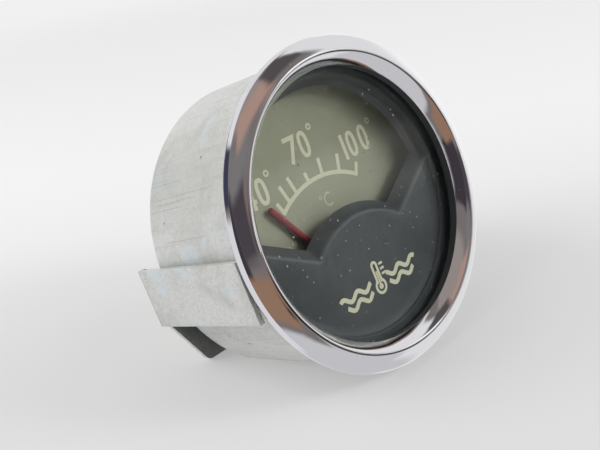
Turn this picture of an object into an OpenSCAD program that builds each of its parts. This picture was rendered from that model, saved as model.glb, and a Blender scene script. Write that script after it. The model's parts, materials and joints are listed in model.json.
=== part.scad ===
// Panel gauge for water temperature: a 52 mm round instrument with its clamping bracket.
// The origin is the centre of the face behind the bezel that seats on the panel.
// Depth runs along +Y from the glass to the terminals, +X is right and +Z up as seen from the front.

/* [Case] */
// Outside diameter of the case, the hole size in the panel being a little more
case_d = 52; // [51:0.5:56]
// Sheet thickness of the case wall
case_wall = 0.5; // [0.4:0.05:0.6]
// Depth of the case behind the panel seat
case_depth = 25.3; // [22.8:0.1:32]
// Thickness of the case back
case_back = 0.8; // [0.6:0.05:0.9]
// Radius of the rounded rear edge
case_edge_r = 1.2; // [1:0.1:2]
// Width of the flange turned out at the mouth
case_flange = 1.1; // [0.9:0.1:1.2]
// Diameter of the hole for the lamp holder
lamp_hole_d = 14; // [11:0.5:14.5]
// Height of the lamp hole above the axis
lamp_hole_z = 16; // [15.5:0.1:16.5]

/* [Bezel] */
// How far the bezel stands out past the case
bezel_overhang = 2.3; // [2:0.1:3]
// Height of the crest in front of the panel seat
bezel_proud = 2.6; // [2.5:0.1:3.4]
// Sheet thickness of the bezel
bezel_sheet = 0.4; // [0.3:0.05:0.45]
// Distance of the crest inside the outer edge
crest_inset = 3.0; // [2.8:0.1:3.1]
// Distance of the inner lip inside the outer edge
lip_inset = 5.2; // [5.0:0.05:5.4]
// Depth of the inner lip behind the panel seat, negative in front of it
lip_depth = -0.45; // [-0.6:0.05:-0.3]
// Outward bulge of the sloping front band
band_bulge = 0.12; // [0:0.02:0.3]

/* [Glass and mask] */
// Thickness of the seal under the lip
seal_t = 1.4; // [1.3:0.05:1.5]
// Thickness of the glass
glass_t = 1.5; // [1.2:0.1:2]
// Wall of the mask round the glass
mask_wall = 0.45; // [0.35:0.05:0.5]
// Thickness of the mask behind its face
mask_t = 1.0; // [0.7:0.1:1.2]
// Depth of the mask face behind the glass
face_step = 0.55; // [0.4:0.05:1]
// Radius of the recessed face
face_r = 22; // [21.7:0.1:22.4]
// Radius of the top of the window at its rear edge
window_r = 21; // [20.5:0.1:21.4]
// Slope of the straight lower edges of the window, in degrees
window_sill_angle = 29.5; // [26:0.5:32]
// Height at which the two lower edges would meet on the centre line
window_sill_z = -9.6; // [-10.2:0.1:-9]
// Depth of the sloping window wall
window_depth = 2.4; // [1.8:0.1:2.8]
// Width of the sloping window wall
window_run = 2.4; // [1.8:0.1:2.6]
// Radius of the hump over the pivot, at the rear edge
hump_r = 18.8; // [18.2:0.1:19.2]
// Height of the centre of the hump
hump_z = -19.1; // [-19.5:0.1:-18.7]
// Width of the sloping wall of the hump
hump_run = 1.9; // [1.5:0.1:2.4]

/* [Dial and pointer] */
// Thickness of the dial plate
dial_t = 0.5; // [0.4:0.1:0.8]
// Height of the flat top of the dial, which lets the lamp light past
dial_top_z = 22.5; // [22:0.1:24]
// Height of the pointer pivot
pivot_z = -14.4; // [-14.9:0.1:-14.3]
// Length of the pointer from its pivot to its tip
pointer_len = 23.3; // [22:0.1:24.5]
// Thickness of the pointer
pointer_d = 1.3; // [1.1:0.05:1.4]
// Angle of the resting pointer left of upright, in degrees
pointer_rest = 33.5; // [30:0.1:35.5]
// How far the arm of the pointer lies behind its tail, nearer to the dial
arm_drop = 0.6; // [0.5:0.05:0.7]
// Length of the tail that carries the balance weight
tail_len = 6.5; // [6:0.1:7.5]
// Diameter of the pointer hub
hub_d = 4.0; // [3.4:0.1:4.4]
// Thickness of the spindle
spindle_d = 1.5; // [1.2:0.1:1.8]
// Thickness of the pivots at its ends
pivot_d = 0.9; // [0.6:0.1:1]
// Diameter of the balance weight
weight_d = 2.4; // [2.2:0.1:2.6]

/* [Movement] */
// Thickness of the plate that carries the movement
plate_t = 1.2; // [0.8:0.1:1.5]
// Thickness of the iron yoke
yoke_t = 1.2; // [0.8:0.1:1.5]
// Width of the yoke arms
yoke_w = 7; // [6:0.2:7.2]
// Lean of each coil from upright, in degrees
coil_lean = 45; // [43:1:47]
// Diameter of the bobbin flanges
coil_d = 9; // [8.4:0.1:9.6]
// Length of the bobbins
coil_len = 12.3; // [11:0.1:13]
// Diameter of the iron cores
core_d = 3.6; // [3:0.1:3.8]
// Width of the square pole shoes
shoe_w = 6; // [5:0.2:6.4]
// Radius of the moving iron
armature_r = 5.6; // [5:0.1:5.9]
// Thickness of the moving iron
armature_t = 1.6; // [1:0.1:2.4]
// Thickness of the front bridge
bridge_t = 1.0; // [0.8:0.1:1.2]
// Sideways distance of the bridge posts from the centre line
bridge_post_x = 9.5; // [9:0.1:10]
// Sideways distance of the dial posts from the centre line
dial_post_x = 17.5; // [16.5:0.1:18.5]
// Height of the dial posts
dial_post_z = -8; // [-9:0.1:-7]
// Diameter of the bridge and dial posts
post_d = 3.2; // [2.8:0.1:3.6]

/* [Terminals] */
// Diameter of the terminal studs
terminal_d = 3.5; // [3:0.1:4]
// Sideways distance of the terminals from the centre line
terminal_x = 12; // [12:0.1:14]
// Height of the terminals
terminal_z = 11; // [10.8:0.1:12]
// Width of the terminal nuts across their flats
terminal_nut_w = 6; // [5.5:0.1:6.2]
// Height of each terminal nut
terminal_nut_h = 2.2; // [1.8:0.1:2.6]
// Length of stud left free behind the last nut
terminal_free = 1.7; // [1:0.1:3]

/* [Bracket] */
// Diameter of the centre stud
stud_d = 5; // [4:0.5:5]
// Length of the centre stud behind the case
stud_len = 18; // [17:0.5:22]
// Sheet thickness of the bracket
bracket_t = 1.0; // [0.8:0.1:1.4]
// Width of the bracket legs
leg_w = 10.3; // [8:0.1:11]
// Drop of the middle of the legs below the axis
leg_drop = 3.1; // [0:0.1:3.6]
// How much lower the front end of the legs lies than their rear end
leg_slant = 0.9; // [0:0.1:1.5]
// Distance of the inside of each leg from the axis beyond the case
leg_gap = 1.0; // [0.8:0.1:1.6]
// Gap between the front end of the legs and the panel seat
leg_front = 0.7; // [0.5:0.1:3]
// Gap between the case back and the bracket plate
plate_gap = 2.9; // [2.8:0.1:4]
// Height of the top of the bracket plate above the axis
plate_rise = 6.2; // [5.5:0.1:6.5]
// Half width of the raised top of the bracket plate
plate_head = 13; // [10:0.5:15]
// Half width of the bracket plate at the notch in its top, beside each leg
plate_waist = 22.5; // [21.5:0.1:23]
// Depth of that notch below the top of the leg
waist_drop = 2.6; // [2:0.1:3]
// Drop of the lower edge of the bracket plate below the axis
plate_drop = 17.5; // [15.5:0.1:19]
// Half width of the lower edge of the bracket plate
plate_foot = 22.4; // [20:0.1:24]
// Radius of the bends between the legs and the plate
bend_r = 1.4; // [1.4:0.1:2]
// Diameter of the knurled clamp nut
nut_d = 12; // [10:0.5:14]
// Height of the clamp nut
nut_h = 5.5; // [4.5:0.1:6]
// Number of grooves in the knurl
nut_grooves = 30; // [24:1:36]

/* [Hidden] */
// Clearances
fit_gap = 0.03;
run_gap = 0.05;
slip_gap = 0.1;
loose_gap = 0.3;
side_fn = 96;
rod_fn = 48;

// Case
case_r = case_d / 2;
case_ri = case_r - case_wall;
flange_r = case_r + case_flange;
flange_back = -bezel_sheet;
flange_front = flange_back - case_wall;
back_inner = case_depth - case_back;
edge_x = case_r - case_edge_r;
edge_y = case_depth - case_edge_r;
arc_steps = 5;

// Bezel
bezel_r = case_r + bezel_overhang;
hem_r = case_r + slip_gap;
crest_r = bezel_r - crest_inset;
lip_r = bezel_r - lip_inset;
corner_in = 0.4;
corner_y = -1.15;
side_y = -0.3;
crest_round = 0.4;

// Glass, seal and mask
mask_r = case_ri - slip_gap;
mask_ri = mask_r - mask_wall;
glass_r = mask_ri - slip_gap - fit_gap;
glass_front = lip_depth + seal_t;
glass_back = glass_front + glass_t;
mask_flange_r = case_r + 0.3;
mask_flange_front = flange_front - 0.4;
face_y = glass_back + face_step;
window_back = face_y + window_depth;
rim_r = face_r + 0.3;
skirt_t = 0.9;

// Pointer and dial
pointer_y = window_back + 1.6;
arm_y = pointer_y + arm_drop;
dial_front = pointer_y + 1.5;
dial_back = dial_front + dial_t;
dial_r = case_ri - 0.6;
hub_front = pointer_y - 1.0;
hub_back = dial_front - loose_gap;
hub_r = hub_d / 2;
eye_r = hub_r + 0.7;
eye_t = pointer_d;
spindle_hole_r = 1.8;

// Movement
plate_front = back_inner - plate_t;
plate_r = case_ri - 0.9;
plate_top_z = 5;
yoke_front = plate_front - yoke_t;
coil_y = yoke_front - slip_gap - coil_d / 2;
bridge_half = 3.5;
bridge_back = coil_y - bridge_half;
bridge_front = bridge_back - bridge_t;
bridge_w = 4.4;
bridge_end = 2;
bridge_boss_r = 3;
bridge_bore_r = 1.55;
bearing_proud = 0.3;
bridge_post_z = pivot_z - 3;
shoe_near = armature_r + 1;
shoe_t = 1.0;
coil_near = shoe_near + shoe_t + slip_gap;
coil_far = coil_near + coil_len;
lug_near = coil_far + slip_gap;
lug_far = lug_near + yoke_t;
lug_half = 4;
lug_front = coil_y - lug_half;
arm_start = 5.5;
strap_r = 8;
strap_h = 3.3;
strap_z = pivot_z + 3.6;
lug_inset = 0.1;
bobbin_wall = 0.7;
bobbin_flange_t = 0.9;
winding_r = coil_d / 2 - 0.5;
tube_r = core_d / 2 + run_gap + bobbin_wall;
shoulder_front = bridge_back + 0.2;
rear_bearing_front = plate_front - 2.6;
shoulder_back = rear_bearing_front - 0.15;
bearing_r = 1.75;
bearing_nut_t = 1.4;
bearing_nut_r = 3.2;
screw_r = 0.9;
screw_head_r = 1.7;
screw_head_h = 0.9;
post_screw_depth = 4;
movement_screw = [plate_r - 5.1, -3];
movement_screw_r = 1.1;
movement_screw_head_r = 2.1;
movement_head_h = 1.2;
slot_w = 0.45;
slot_h = 0.45;
resistor_r = 2.4;
resistor_h = 8;
resistor_lip = 0.5;
resistor_lip_t = 0.8;
resistor_reach = (plate_r - resistor_r - resistor_lip - 0.5) * sin(45);
resistor_at = [resistor_reach, -resistor_reach];
rivet_at = [6.5, pivot_z + 5.3];

// Terminals
terminal_r = terminal_d / 2;
bush_wall = 1.2;
bush_lip = 0.9;
bush_r = terminal_r + bush_wall;
bush_flange_r = bush_r + bush_lip;
bush_flange_t = 1.0;
terminal_nut_y = case_depth + bush_flange_t;
terminal_washer_t = 0.6;
terminal_outer_y = terminal_nut_y + terminal_nut_h + terminal_washer_t;
terminal_end = terminal_outer_y + terminal_nut_h + terminal_free;
terminal_head_h = 1.5;
terminal_head_lip = 1.45;
terminal_head_r = terminal_r + terminal_head_lip;
inner_insulator_t = 1.1;

// Bracket
stud_r = stud_d / 2;
stud_head_r = stud_r + 1.5;
stud_head_h = 1.8;
stud_end = case_depth + stud_len;
stud_nut_h = 2.4;
stud_nut_w = stud_d * 1.6;
leg_in = case_r + leg_gap;
leg_out = leg_in + bracket_t;
bracket_front = case_depth + plate_gap;
bracket_back = bracket_front + bracket_t;
foot_round = 1.4;
foot_turn = -28;
leg_front_z = -leg_drop - leg_slant / 2;
leg_rear_z = -leg_drop + leg_slant / 2;
washer_t = 1.2;
washer_r = stud_r + 2.1;
nut_front = bracket_back + washer_t;
nut_back = nut_front + nut_h;
knurl_depth = 0.35;

// Points on an arc, the angles in degrees
function arc_points(cx, cy, rx, ry, a0, a1, n) =
    [for (i = [0 : n]) let (a = a0 + (a1 - a0) * i / n) [cx + rx * cos(a), cy + ry * sin(a)]];

// Points between p and q, bowed sideways by the bulge
function bowed(p, q, bulge, n) =
    let (d = q - p, l = norm(d), side = [-d[1], d[0]] / l)
    [for (i = [1 : n - 1]) let (s = i / n) p + d * s + side * bulge * 4 * s * (1 - s)];

// Path moved sideways by the sheet thickness
function beside(path, t) =
    [for (i = [0 : len(path) - 1])
        let (a = path[max(i - 1, 0)], b = path[min(i + 1, len(path) - 1)], d = (b - a) / norm(b - a))
        path[i] + t * [-d[1], d[0]]];

function reversed(path) = [for (i = [len(path) - 1 : -1 : 0]) path[i]];

// Solid of revolution about the gauge axis: x is the radius, y the depth
module turned() {
    rotate([-90, 0, 0]) rotate_extrude($fn = side_fn) children();
}

// Plate square to the gauge axis, its outline drawn as seen from the front
module plate_at(y, t) {
    translate([0, y + t, 0]) rotate([90, 0, 0]) linear_extrude(t) children();
}

// Round bar along the gauge axis
module bar(y0, y1, r, at = [0, 0]) {
    translate([at[0], y0, at[1]]) rotate([-90, 0, 0]) cylinder(h = y1 - y0, r = r, $fn = rod_fn);
}

// Tube along the gauge axis
module tube(y0, y1, r, bore, at = [0, 0]) {
    difference() {
        bar(y0, y1, r, at);
        bar(y0 - 1, y1 + 1, bore, at);
    }
}

// Hexagon nut along the gauge axis
module hex_nut(y0, h, across, bore, at = [0, 0]) {
    difference() {
        translate([at[0], y0, at[1]]) rotate([-90, 0, 0]) cylinder(h = h, d = across / cos(30), $fn = 6);
        bar(y0 - 1, y0 + h + 1, bore, at);
    }
}

// Cheese head screw with its head in front
module front_screw(head_y, depth, at) {
    difference() {
        union() {
            bar(head_y - screw_head_h, head_y, screw_head_r, at);
            bar(head_y, head_y + depth, screw_r, at);
        }
        translate([at[0] - screw_head_r - 1, head_y - screw_head_h - 1, at[1] - slot_w / 2])
            cube([2 * screw_head_r + 2, 1 + slot_h, slot_w]);
    }
}

// Copies at both sides of the centre line
module both_sides() {
    children();
    mirror([1, 0, 0]) children();
}

// Frame of one coil: its local Z runs out from the pivot along the coil
module coil_frame(side) {
    translate([0, coil_y, pivot_z]) rotate([0, side * coil_lean, 0]) children();
}

module case_holes() {
    bar(back_inner - 1, case_depth + 1, lamp_hole_d / 2, [0, lamp_hole_z]);
    bar(back_inner - 1, case_depth + 1, stud_r + slip_gap);
    both_sides() bar(back_inner - 1, case_depth + 1, bush_r + slip_gap, [terminal_x, terminal_z]);
    both_sides() bar(back_inner - 1, case_depth + 1, movement_screw_r + slip_gap, movement_screw);
}

module case() {
    outline = concat(
        [[case_ri, flange_front], [flange_r, flange_front], [flange_r, flange_back], [case_r, flange_back]],
        arc_points(edge_x, edge_y, case_edge_r, case_edge_r, 0, 90, arc_steps),
        [[0, case_depth], [0, back_inner]],
        reversed(arc_points(edge_x, edge_y, case_ri - edge_x, back_inner - edge_y, 0, 90, arc_steps))
    );
    color([0.74, 0.76, 0.74]) difference() {
        turned() polygon(outline);
        case_holes();
    }
}

module bezel() {
    corner = [bezel_r - corner_in, corner_y];
    crest = [crest_r, -bezel_proud];
    cone_top = [crest_r - crest_round, -bezel_proud + crest_round * 0.3];
    lip = [lip_r, lip_depth];
    band = concat([corner], bowed(corner, crest, band_bulge, 6), [crest], bowed(crest, cone_top, 0.08, 3),
        [cone_top], bowed(cone_top, lip, 0.1, 5));
    skin = concat([[bezel_r, side_y], [bezel_r - corner_in / 4, (side_y + corner_y) / 2]], band);
    inner = beside(skin, -bezel_sheet);
    outline = concat([[hem_r, flange_back], [hem_r, 0], [bezel_r - 0.15, 0]], skin, [lip],
        [[lip_r + bezel_sheet * 1.35, lip_depth]], reversed([for (i = [1 : len(inner) - 1]) inner[i]]),
        [[bezel_r - bezel_sheet, flange_back]]);
    color([0.85, 0.86, 0.88]) turned() polygon(outline);
}

module seal_ring() {
    color([0.08, 0.08, 0.08])
        turned() polygon([[lip_r + 0.1, lip_depth], [glass_r, lip_depth], [glass_r, glass_front],
            [lip_r + 0.1, glass_front]]);
}

module glass() {
    color([0.85, 0.92, 0.92, 0.3]) bar_glass();
}

module bar_glass() {
    turned() polygon([[0, glass_front], [glass_r, glass_front], [glass_r, glass_back], [0, glass_back]]);
}

// Space above one lower edge of the window, its floor sloping with the window wall
module sill_space(grow) {
    translate([0, window_back, window_sill_z - grow / cos(window_sill_angle)])
        rotate([0, -window_sill_angle, 0]) rotate([atan2(window_run, window_depth), 0, 0])
        translate([-60, -40, 0]) cube([120, 60, 80]);
}

// Space of the window, grown outwards by the given amount
module window_space(grow) {
    slope = window_run / window_depth;
    before = window_depth + 1;
    after = 0.5;
    hump_slope = hump_run / window_depth;
    difference() {
        intersection() {
            bar(window_back - before, window_back + after, rim_r + grow);
            translate([0, window_back - before, 0]) rotate([-90, 0, 0])
                cylinder(h = before + after, r1 = window_r + grow + slope * before,
                    r2 = window_r + grow - slope * after, $fn = side_fn);
            sill_space(grow);
            mirror([1, 0, 0]) sill_space(grow);
        }
        translate([0, window_back - before - 1, hump_z]) rotate([-90, 0, 0])
            cylinder(h = before + after + 2, r1 = hump_r - grow - hump_slope * (before + 1),
                r2 = hump_r - grow + hump_slope * (after + 1), $fn = side_fn);
    }
}

module mask() {
    face_back = face_y + mask_t;
    outline = [[0, face_y], [face_r, face_y], [rim_r, glass_back], [mask_ri, glass_back],
        [mask_ri, mask_flange_front], [mask_flange_r, mask_flange_front], [mask_flange_r, flange_front],
        [mask_r, flange_front], [mask_r, face_back], [0, face_back]];
    color([0.25, 0.28, 0.3]) difference() {
        union() {
            turned() polygon(outline);
            intersection() {
                window_space(skirt_t);
                bar(face_y + mask_t / 2, window_back, mask_ri);
            }
        }
        window_space(0);
    }
}

module dial_plate() {
    color([0.55, 0.55, 0.47]) plate_at(dial_front, dial_t) difference() {
        intersection() {
            circle(r = dial_r, $fn = side_fn);
            translate([-dial_r, -dial_r]) square([2 * dial_r, dial_r + dial_top_z]);
        }
        translate([0, pivot_z]) circle(r = spindle_hole_r, $fn = rod_fn);
        for (side = [-1, 1]) translate([side * dial_post_x, dial_post_z])
            circle(r = screw_r + slip_gap, $fn = rod_fn);
    }
}

module dial_screws() {
    color([0.7, 0.62, 0.4]) both_sides() front_screw(dial_front, post_screw_depth, [dial_post_x, dial_post_z]);
}

module dial_posts() {
    at = [dial_post_x, dial_post_z];
    color([0.72, 0.6, 0.35]) both_sides() difference() {
        bar(dial_back, plate_front, post_d / 2, at);
        bar(dial_back - 1, dial_front + post_screw_depth + 0.5, screw_r + run_gap, at);
    }
}

// Frame of the resting pointer: its local Z runs from the pivot to the tip
module pointer_frame() {
    translate([0, 0, pivot_z]) rotate([0, -pointer_rest, 0]) children();
}

module pointer() {
    r = pointer_d / 2;
    color([0.55, 0.12, 0.15]) pointer_frame() difference() {
        union() {
            bar(pointer_y - eye_t / 2, arm_y + eye_t / 2, eye_r);
            translate([0, arm_y, 0]) cylinder(h = pointer_len - r, r = r, $fn = rod_fn);
            translate([0, arm_y, pointer_len - r]) sphere(r = r, $fn = rod_fn);
            translate([0, pointer_y, -tail_len]) cylinder(h = tail_len, r = r, $fn = rod_fn);
        }
        bar(pointer_y - 2, pointer_y + 2, hub_r + fit_gap);
    }
}

module balance_weight() {
    r = weight_d / 2;
    color([0.75, 0.62, 0.35]) pointer_frame() translate([0, pointer_y, -tail_len]) difference() {
        cylinder(h = tail_len - eye_r - 0.6, r = r, $fn = rod_fn);
        translate([0, 0, -1]) cylinder(h = tail_len + 2, r = pointer_d / 2 + fit_gap, $fn = rod_fn);
    }
}

module pointer_hub() {
    color([0.75, 0.62, 0.35]) tube(hub_front, hub_back, hub_r, pivot_d / 2 + fit_gap, [0, pivot_z]);
}

module spindle() {
    color([0.6, 0.6, 0.62]) union() {
        bar(hub_front + 0.2, shoulder_front, pivot_d / 2, [0, pivot_z]);
        bar(shoulder_front, shoulder_back, spindle_d / 2, [0, pivot_z]);
        bar(shoulder_back, rear_bearing_front + 1.6, pivot_d / 2, [0, pivot_z]);
    }
}

module armature() {
    color([0.45, 0.45, 0.47]) pointer_frame() plate_at(coil_y - armature_t / 2, armature_t) difference() {
        intersection() {
            circle(r = armature_r, $fn = rod_fn);
            square([2 * armature_r, armature_r], center = true);
        }
        circle(r = spindle_d / 2 + fit_gap, $fn = rod_fn);
    }
}

module front_bridge() {
    color([0.75, 0.62, 0.35]) plate_at(bridge_front, bridge_t) difference() {
        union() {
            translate([0, bridge_post_z])
                square([2 * (bridge_post_x + bridge_end), bridge_w], center = true);
            translate([0, pivot_z]) circle(r = bridge_boss_r, $fn = rod_fn);
        }
        translate([0, pivot_z]) circle(r = bridge_bore_r, $fn = rod_fn);
        for (side = [-1, 1]) translate([side * bridge_post_x, bridge_post_z])
            circle(r = screw_r + slip_gap, $fn = rod_fn);
    }
}

module bridge_posts() {
    at = [bridge_post_x, bridge_post_z];
    color([0.72, 0.6, 0.35]) both_sides() difference() {
        bar(bridge_back, plate_front, post_d / 2, at);
        bar(bridge_back - 1, bridge_front + post_screw_depth + 0.5, screw_r + run_gap, at);
    }
}

module bridge_screws() {
    color([0.6, 0.6, 0.62]) both_sides()
        front_screw(bridge_front, post_screw_depth, [bridge_post_x, bridge_post_z]);
}

module front_bearing() {
    color([0.8, 0.68, 0.4]) tube(bridge_front - bearing_proud, bridge_back, bridge_bore_r - fit_gap,
        pivot_d / 2 + run_gap, [0, pivot_z]);
}

module rear_bearing() {
    color([0.8, 0.68, 0.4]) difference() {
        bar(rear_bearing_front, back_inner - slip_gap, bearing_r, [0, pivot_z]);
        bar(rear_bearing_front - 1, rear_bearing_front + 1.8, pivot_d / 2 + run_gap, [0, pivot_z]);
    }
}

module bearing_nut() {
    color([0.75, 0.62, 0.35]) hex_nut(plate_front - bearing_nut_t, bearing_nut_t,
        2 * bearing_nut_r * cos(30), bearing_r + fit_gap, [0, pivot_z]);
}

module movement_plate() {
    color([0.66, 0.67, 0.68]) difference() {
        plate_at(plate_front, plate_t) intersection() {
            circle(r = plate_r, $fn = side_fn);
            translate([-plate_r, -plate_r]) square([2 * plate_r, plate_r + plate_top_z]);
        }
        bar(plate_front - 1, back_inner + 1, stud_r + slip_gap);
        bar(plate_front - 1, back_inner + 1, bearing_r + fit_gap, [0, pivot_z]);
        both_sides() bar(plate_front - 1, back_inner + 1, movement_screw_r + fit_gap, movement_screw);
        both_sides() bar(plate_front - 1, back_inner + 1, screw_r + fit_gap, rivet_at);
        bar(plate_front - 1, back_inner + 1, screw_r + fit_gap, resistor_at);
    }
}

module movement_screws() {
    head_back = case_depth + movement_head_h;
    head_r = movement_screw_head_r;
    color([0.6, 0.6, 0.62]) both_sides() difference() {
        union() {
            bar(plate_front + slip_gap, case_depth, movement_screw_r, movement_screw);
            bar(case_depth, head_back, head_r, movement_screw);
        }
        translate([movement_screw[0] - head_r - 1, head_back - slot_h, movement_screw[1] - slot_w / 2])
            cube([2 * head_r + 2, slot_h + 1, slot_w]);
    }
}

// Flat base of the yoke: an arm under each coil and the strap that joins them
module yoke_base() {
    for (side = [-1, 1]) translate([0, pivot_z]) rotate(-side * coil_lean)
        translate([-yoke_w / 2, arm_start]) square([yoke_w, lug_far - arm_start]);
    translate([-strap_r, strap_z]) square([2 * strap_r, strap_h]);
}

module yoke() {
    lug_w = yoke_w - 2 * lug_inset;
    lug_h = yoke_front + yoke_t / 2 - lug_front;
    color([0.5, 0.5, 0.52]) difference() {
        union() {
            plate_at(yoke_front, yoke_t) yoke_base();
            for (side = [-1, 1]) coil_frame(side) translate([-lug_w / 2, lug_front - coil_y, lug_near])
                cube([lug_w, lug_h, yoke_t - lug_inset]);
        }
        for (side = [-1, 1]) coil_frame(side)
            translate([0, 0, lug_near - 1]) cylinder(h = yoke_t + 2, r = core_d / 2 + fit_gap, $fn = rod_fn);
        both_sides() bar(yoke_front - 1, plate_front + 1, screw_r + fit_gap, rivet_at);
    }
}

module yoke_rivets() {
    color([0.6, 0.6, 0.62]) both_sides() bar(yoke_front, back_inner - slip_gap, screw_r, rivet_at);
}

module pole_piece(side) {
    color([0.5, 0.5, 0.52]) coil_frame(side) {
        translate([-shoe_w / 2, -shoe_w / 2, shoe_near]) cube([shoe_w, shoe_w, shoe_t]);
        translate([0, 0, shoe_near + shoe_t / 2])
            cylinder(h = lug_far - shoe_near - shoe_t / 2, r = core_d / 2, $fn = rod_fn);
        translate([0, 0, lug_far]) cylinder(h = 0.6, r = core_d / 2 + 0.8, $fn = rod_fn);
    }
}

module bobbin(side) {
    color([0.35, 0.16, 0.1]) coil_frame(side) difference() {
        union() {
            translate([0, 0, coil_near]) cylinder(h = coil_len, r = tube_r, $fn = rod_fn);
            for (z = [coil_near, coil_far - bobbin_flange_t])
                translate([0, 0, z]) cylinder(h = bobbin_flange_t, r = coil_d / 2, $fn = rod_fn);
        }
        translate([0, 0, coil_near - 1]) cylinder(h = coil_len + 2, r = core_d / 2 + run_gap, $fn = rod_fn);
    }
}

module winding(side) {
    color([0.7, 0.36, 0.16]) coil_frame(side) translate([0, 0, coil_near + bobbin_flange_t]) difference() {
        cylinder(h = coil_len - 2 * bobbin_flange_t, r = winding_r, $fn = rod_fn);
        translate([0, 0, -1]) cylinder(h = coil_len + 2, r = tube_r + fit_gap, $fn = rod_fn);
    }
}

module pole_piece_left() { pole_piece(-1); }
module pole_piece_right() { pole_piece(1); }
module bobbin_left() { bobbin(-1); }
module bobbin_right() { bobbin(1); }
module winding_left() { winding(-1); }
module winding_right() { winding(1); }

// Straight length of wire from point a to point b
module wire(a, b, r) {
    d = b - a;
    translate(a) rotate([0, acos(d[2] / norm(d)), atan2(d[1], d[0])]) cylinder(h = norm(d), r = r, $fn = 16);
}

module coil_leads() {
    r = 0.2;
    reach = coil_far - bobbin_flange_t / 2;
    out = coil_d / 2 + r + run_gap;
    foot = [reach * sin(coil_lean) - out * cos(coil_lean), coil_y, pivot_z + reach * cos(coil_lean)
        + out * sin(coil_lean)];
    side = 1;
    bend = [terminal_x - side, coil_y + coil_d / 5, terminal_z - side];
    tip = [terminal_x - side, back_inner - inner_insulator_t - terminal_head_h, terminal_z - side];
    color([0.75, 0.4, 0.2]) both_sides() {
        wire(foot, bend, r);
        translate(bend) sphere(r = r + run_gap, $fn = 16);
        wire(bend, tip, r);
    }
}

module resistor_spool() {
    front = plate_front - resistor_h;
    color([0.85, 0.82, 0.74]) difference() {
        union() {
            bar(front, plate_front, resistor_r, resistor_at);
            bar(front, front + resistor_lip_t, resistor_r + resistor_lip, resistor_at);
            bar(plate_front - resistor_lip_t, plate_front, resistor_r + resistor_lip, resistor_at);
        }
        bar(front - 1, plate_front + 1, screw_r + slip_gap, resistor_at);
    }
}

module resistor_screw() {
    color([0.6, 0.6, 0.62]) front_screw(plate_front - resistor_h, resistor_h + plate_t - slip_gap, resistor_at);
}

module terminal_studs() {
    head = back_inner - inner_insulator_t - terminal_head_h;
    at = [terminal_x, terminal_z];
    color([0.78, 0.66, 0.38]) both_sides() union() {
        bar(head, head + terminal_head_h, terminal_head_r, at);
        bar(head + terminal_head_h / 2, terminal_end, terminal_r, at);
    }
}

module inner_insulators() {
    color([0.4, 0.2, 0.13]) both_sides() tube(back_inner - inner_insulator_t, back_inner,
        bush_flange_r, terminal_r + run_gap, [terminal_x, terminal_z]);
}

module terminal_bushes() {
    at = [terminal_x, terminal_z];
    color([0.4, 0.2, 0.13]) both_sides() difference() {
        union() {
            bar(back_inner, terminal_nut_y, bush_r, at);
            bar(case_depth, terminal_nut_y, bush_flange_r, at);
        }
        bar(back_inner - 1, terminal_nut_y + 1, terminal_r + run_gap, at);
    }
}

module terminal_nuts() {
    color([0.78, 0.66, 0.38]) both_sides() for (y = [terminal_nut_y, terminal_outer_y])
        hex_nut(y, terminal_nut_h, terminal_nut_w, terminal_r + fit_gap, [terminal_x, terminal_z]);
}

module terminal_washers() {
    y = terminal_nut_y + terminal_nut_h;
    color([0.78, 0.66, 0.38]) both_sides() tube(y, y + terminal_washer_t, terminal_nut_w / 2 + 0.5,
        terminal_r + run_gap, [terminal_x, terminal_z]);
}

module centre_stud() {
    chamfer = 0.5;
    color([0.68, 0.69, 0.68]) turned() polygon([[0, plate_front - stud_head_h],
        [stud_head_r, plate_front - stud_head_h], [stud_head_r, plate_front], [stud_r, plate_front],
        [stud_r, stud_end - chamfer], [stud_r - chamfer, stud_end], [0, stud_end]]);
}

module stud_nut() {
    color([0.68, 0.69, 0.68]) hex_nut(case_depth, stud_nut_h, stud_nut_w, stud_r + fit_gap);
}

// Half outline of the bracket plate
function foot_outline() = concat(
    [[0, plate_rise], [plate_head, plate_rise], [plate_waist, leg_rear_z + leg_w / 2 - waist_drop],
        [leg_out - bend_r, leg_rear_z + leg_w / 2], [leg_out - bend_r, leg_rear_z - leg_w / 2]],
    arc_points(plate_foot - foot_round, -plate_drop + foot_round, foot_round, foot_round, foot_turn, -90, 4),
    [[0, -plate_drop]]
);

// Outline of one leg and its bend, seen from above
function leg_outline() = concat(
    [[leg_in, leg_front], [leg_out, leg_front], [leg_out, bracket_back - bend_r]],
    arc_points(leg_out - bend_r, bracket_back - bend_r, bend_r, bend_r, 0, 90, arc_steps),
    [[leg_out - bend_r - 1, bracket_back], [leg_out - bend_r - 1, bracket_front]],
    arc_points(leg_out - bend_r, bracket_back - bend_r, bend_r - bracket_t, bend_r - bracket_t, 90, 0, arc_steps)
);

// Outline of one leg seen from the side
function leg_side() = [[leg_front, leg_front_z - leg_w / 2], [leg_front, leg_front_z + leg_w / 2],
    [bracket_front, leg_rear_z + leg_w / 2], [bracket_back + 1, leg_rear_z + leg_w / 2],
    [bracket_back + 1, leg_rear_z - leg_w / 2], [bracket_front, leg_rear_z - leg_w / 2]];

module bracket() {
    color([0.72, 0.73, 0.71]) difference() {
        both_sides() {
            intersection() {
                translate([0, 0, -leg_drop - leg_w]) linear_extrude(2 * leg_w) polygon(leg_outline());
                rotate([90, 0, 90]) linear_extrude(leg_out + 1) polygon(leg_side());
            }
            plate_at(bracket_front, bracket_t) polygon(foot_outline());
        }
        bar(bracket_front - 1, bracket_back + 1, stud_r + loose_gap);
    }
}

module spring_washer() {
    split = 0.8;
    color([0.5, 0.51, 0.52]) difference() {
        tube(bracket_back, nut_front, washer_r, stud_r + 0.25);
        translate([-split / 2, bracket_back - 1, 0]) cube([split, washer_t + 2, washer_r + 1]);
    }
}

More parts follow.
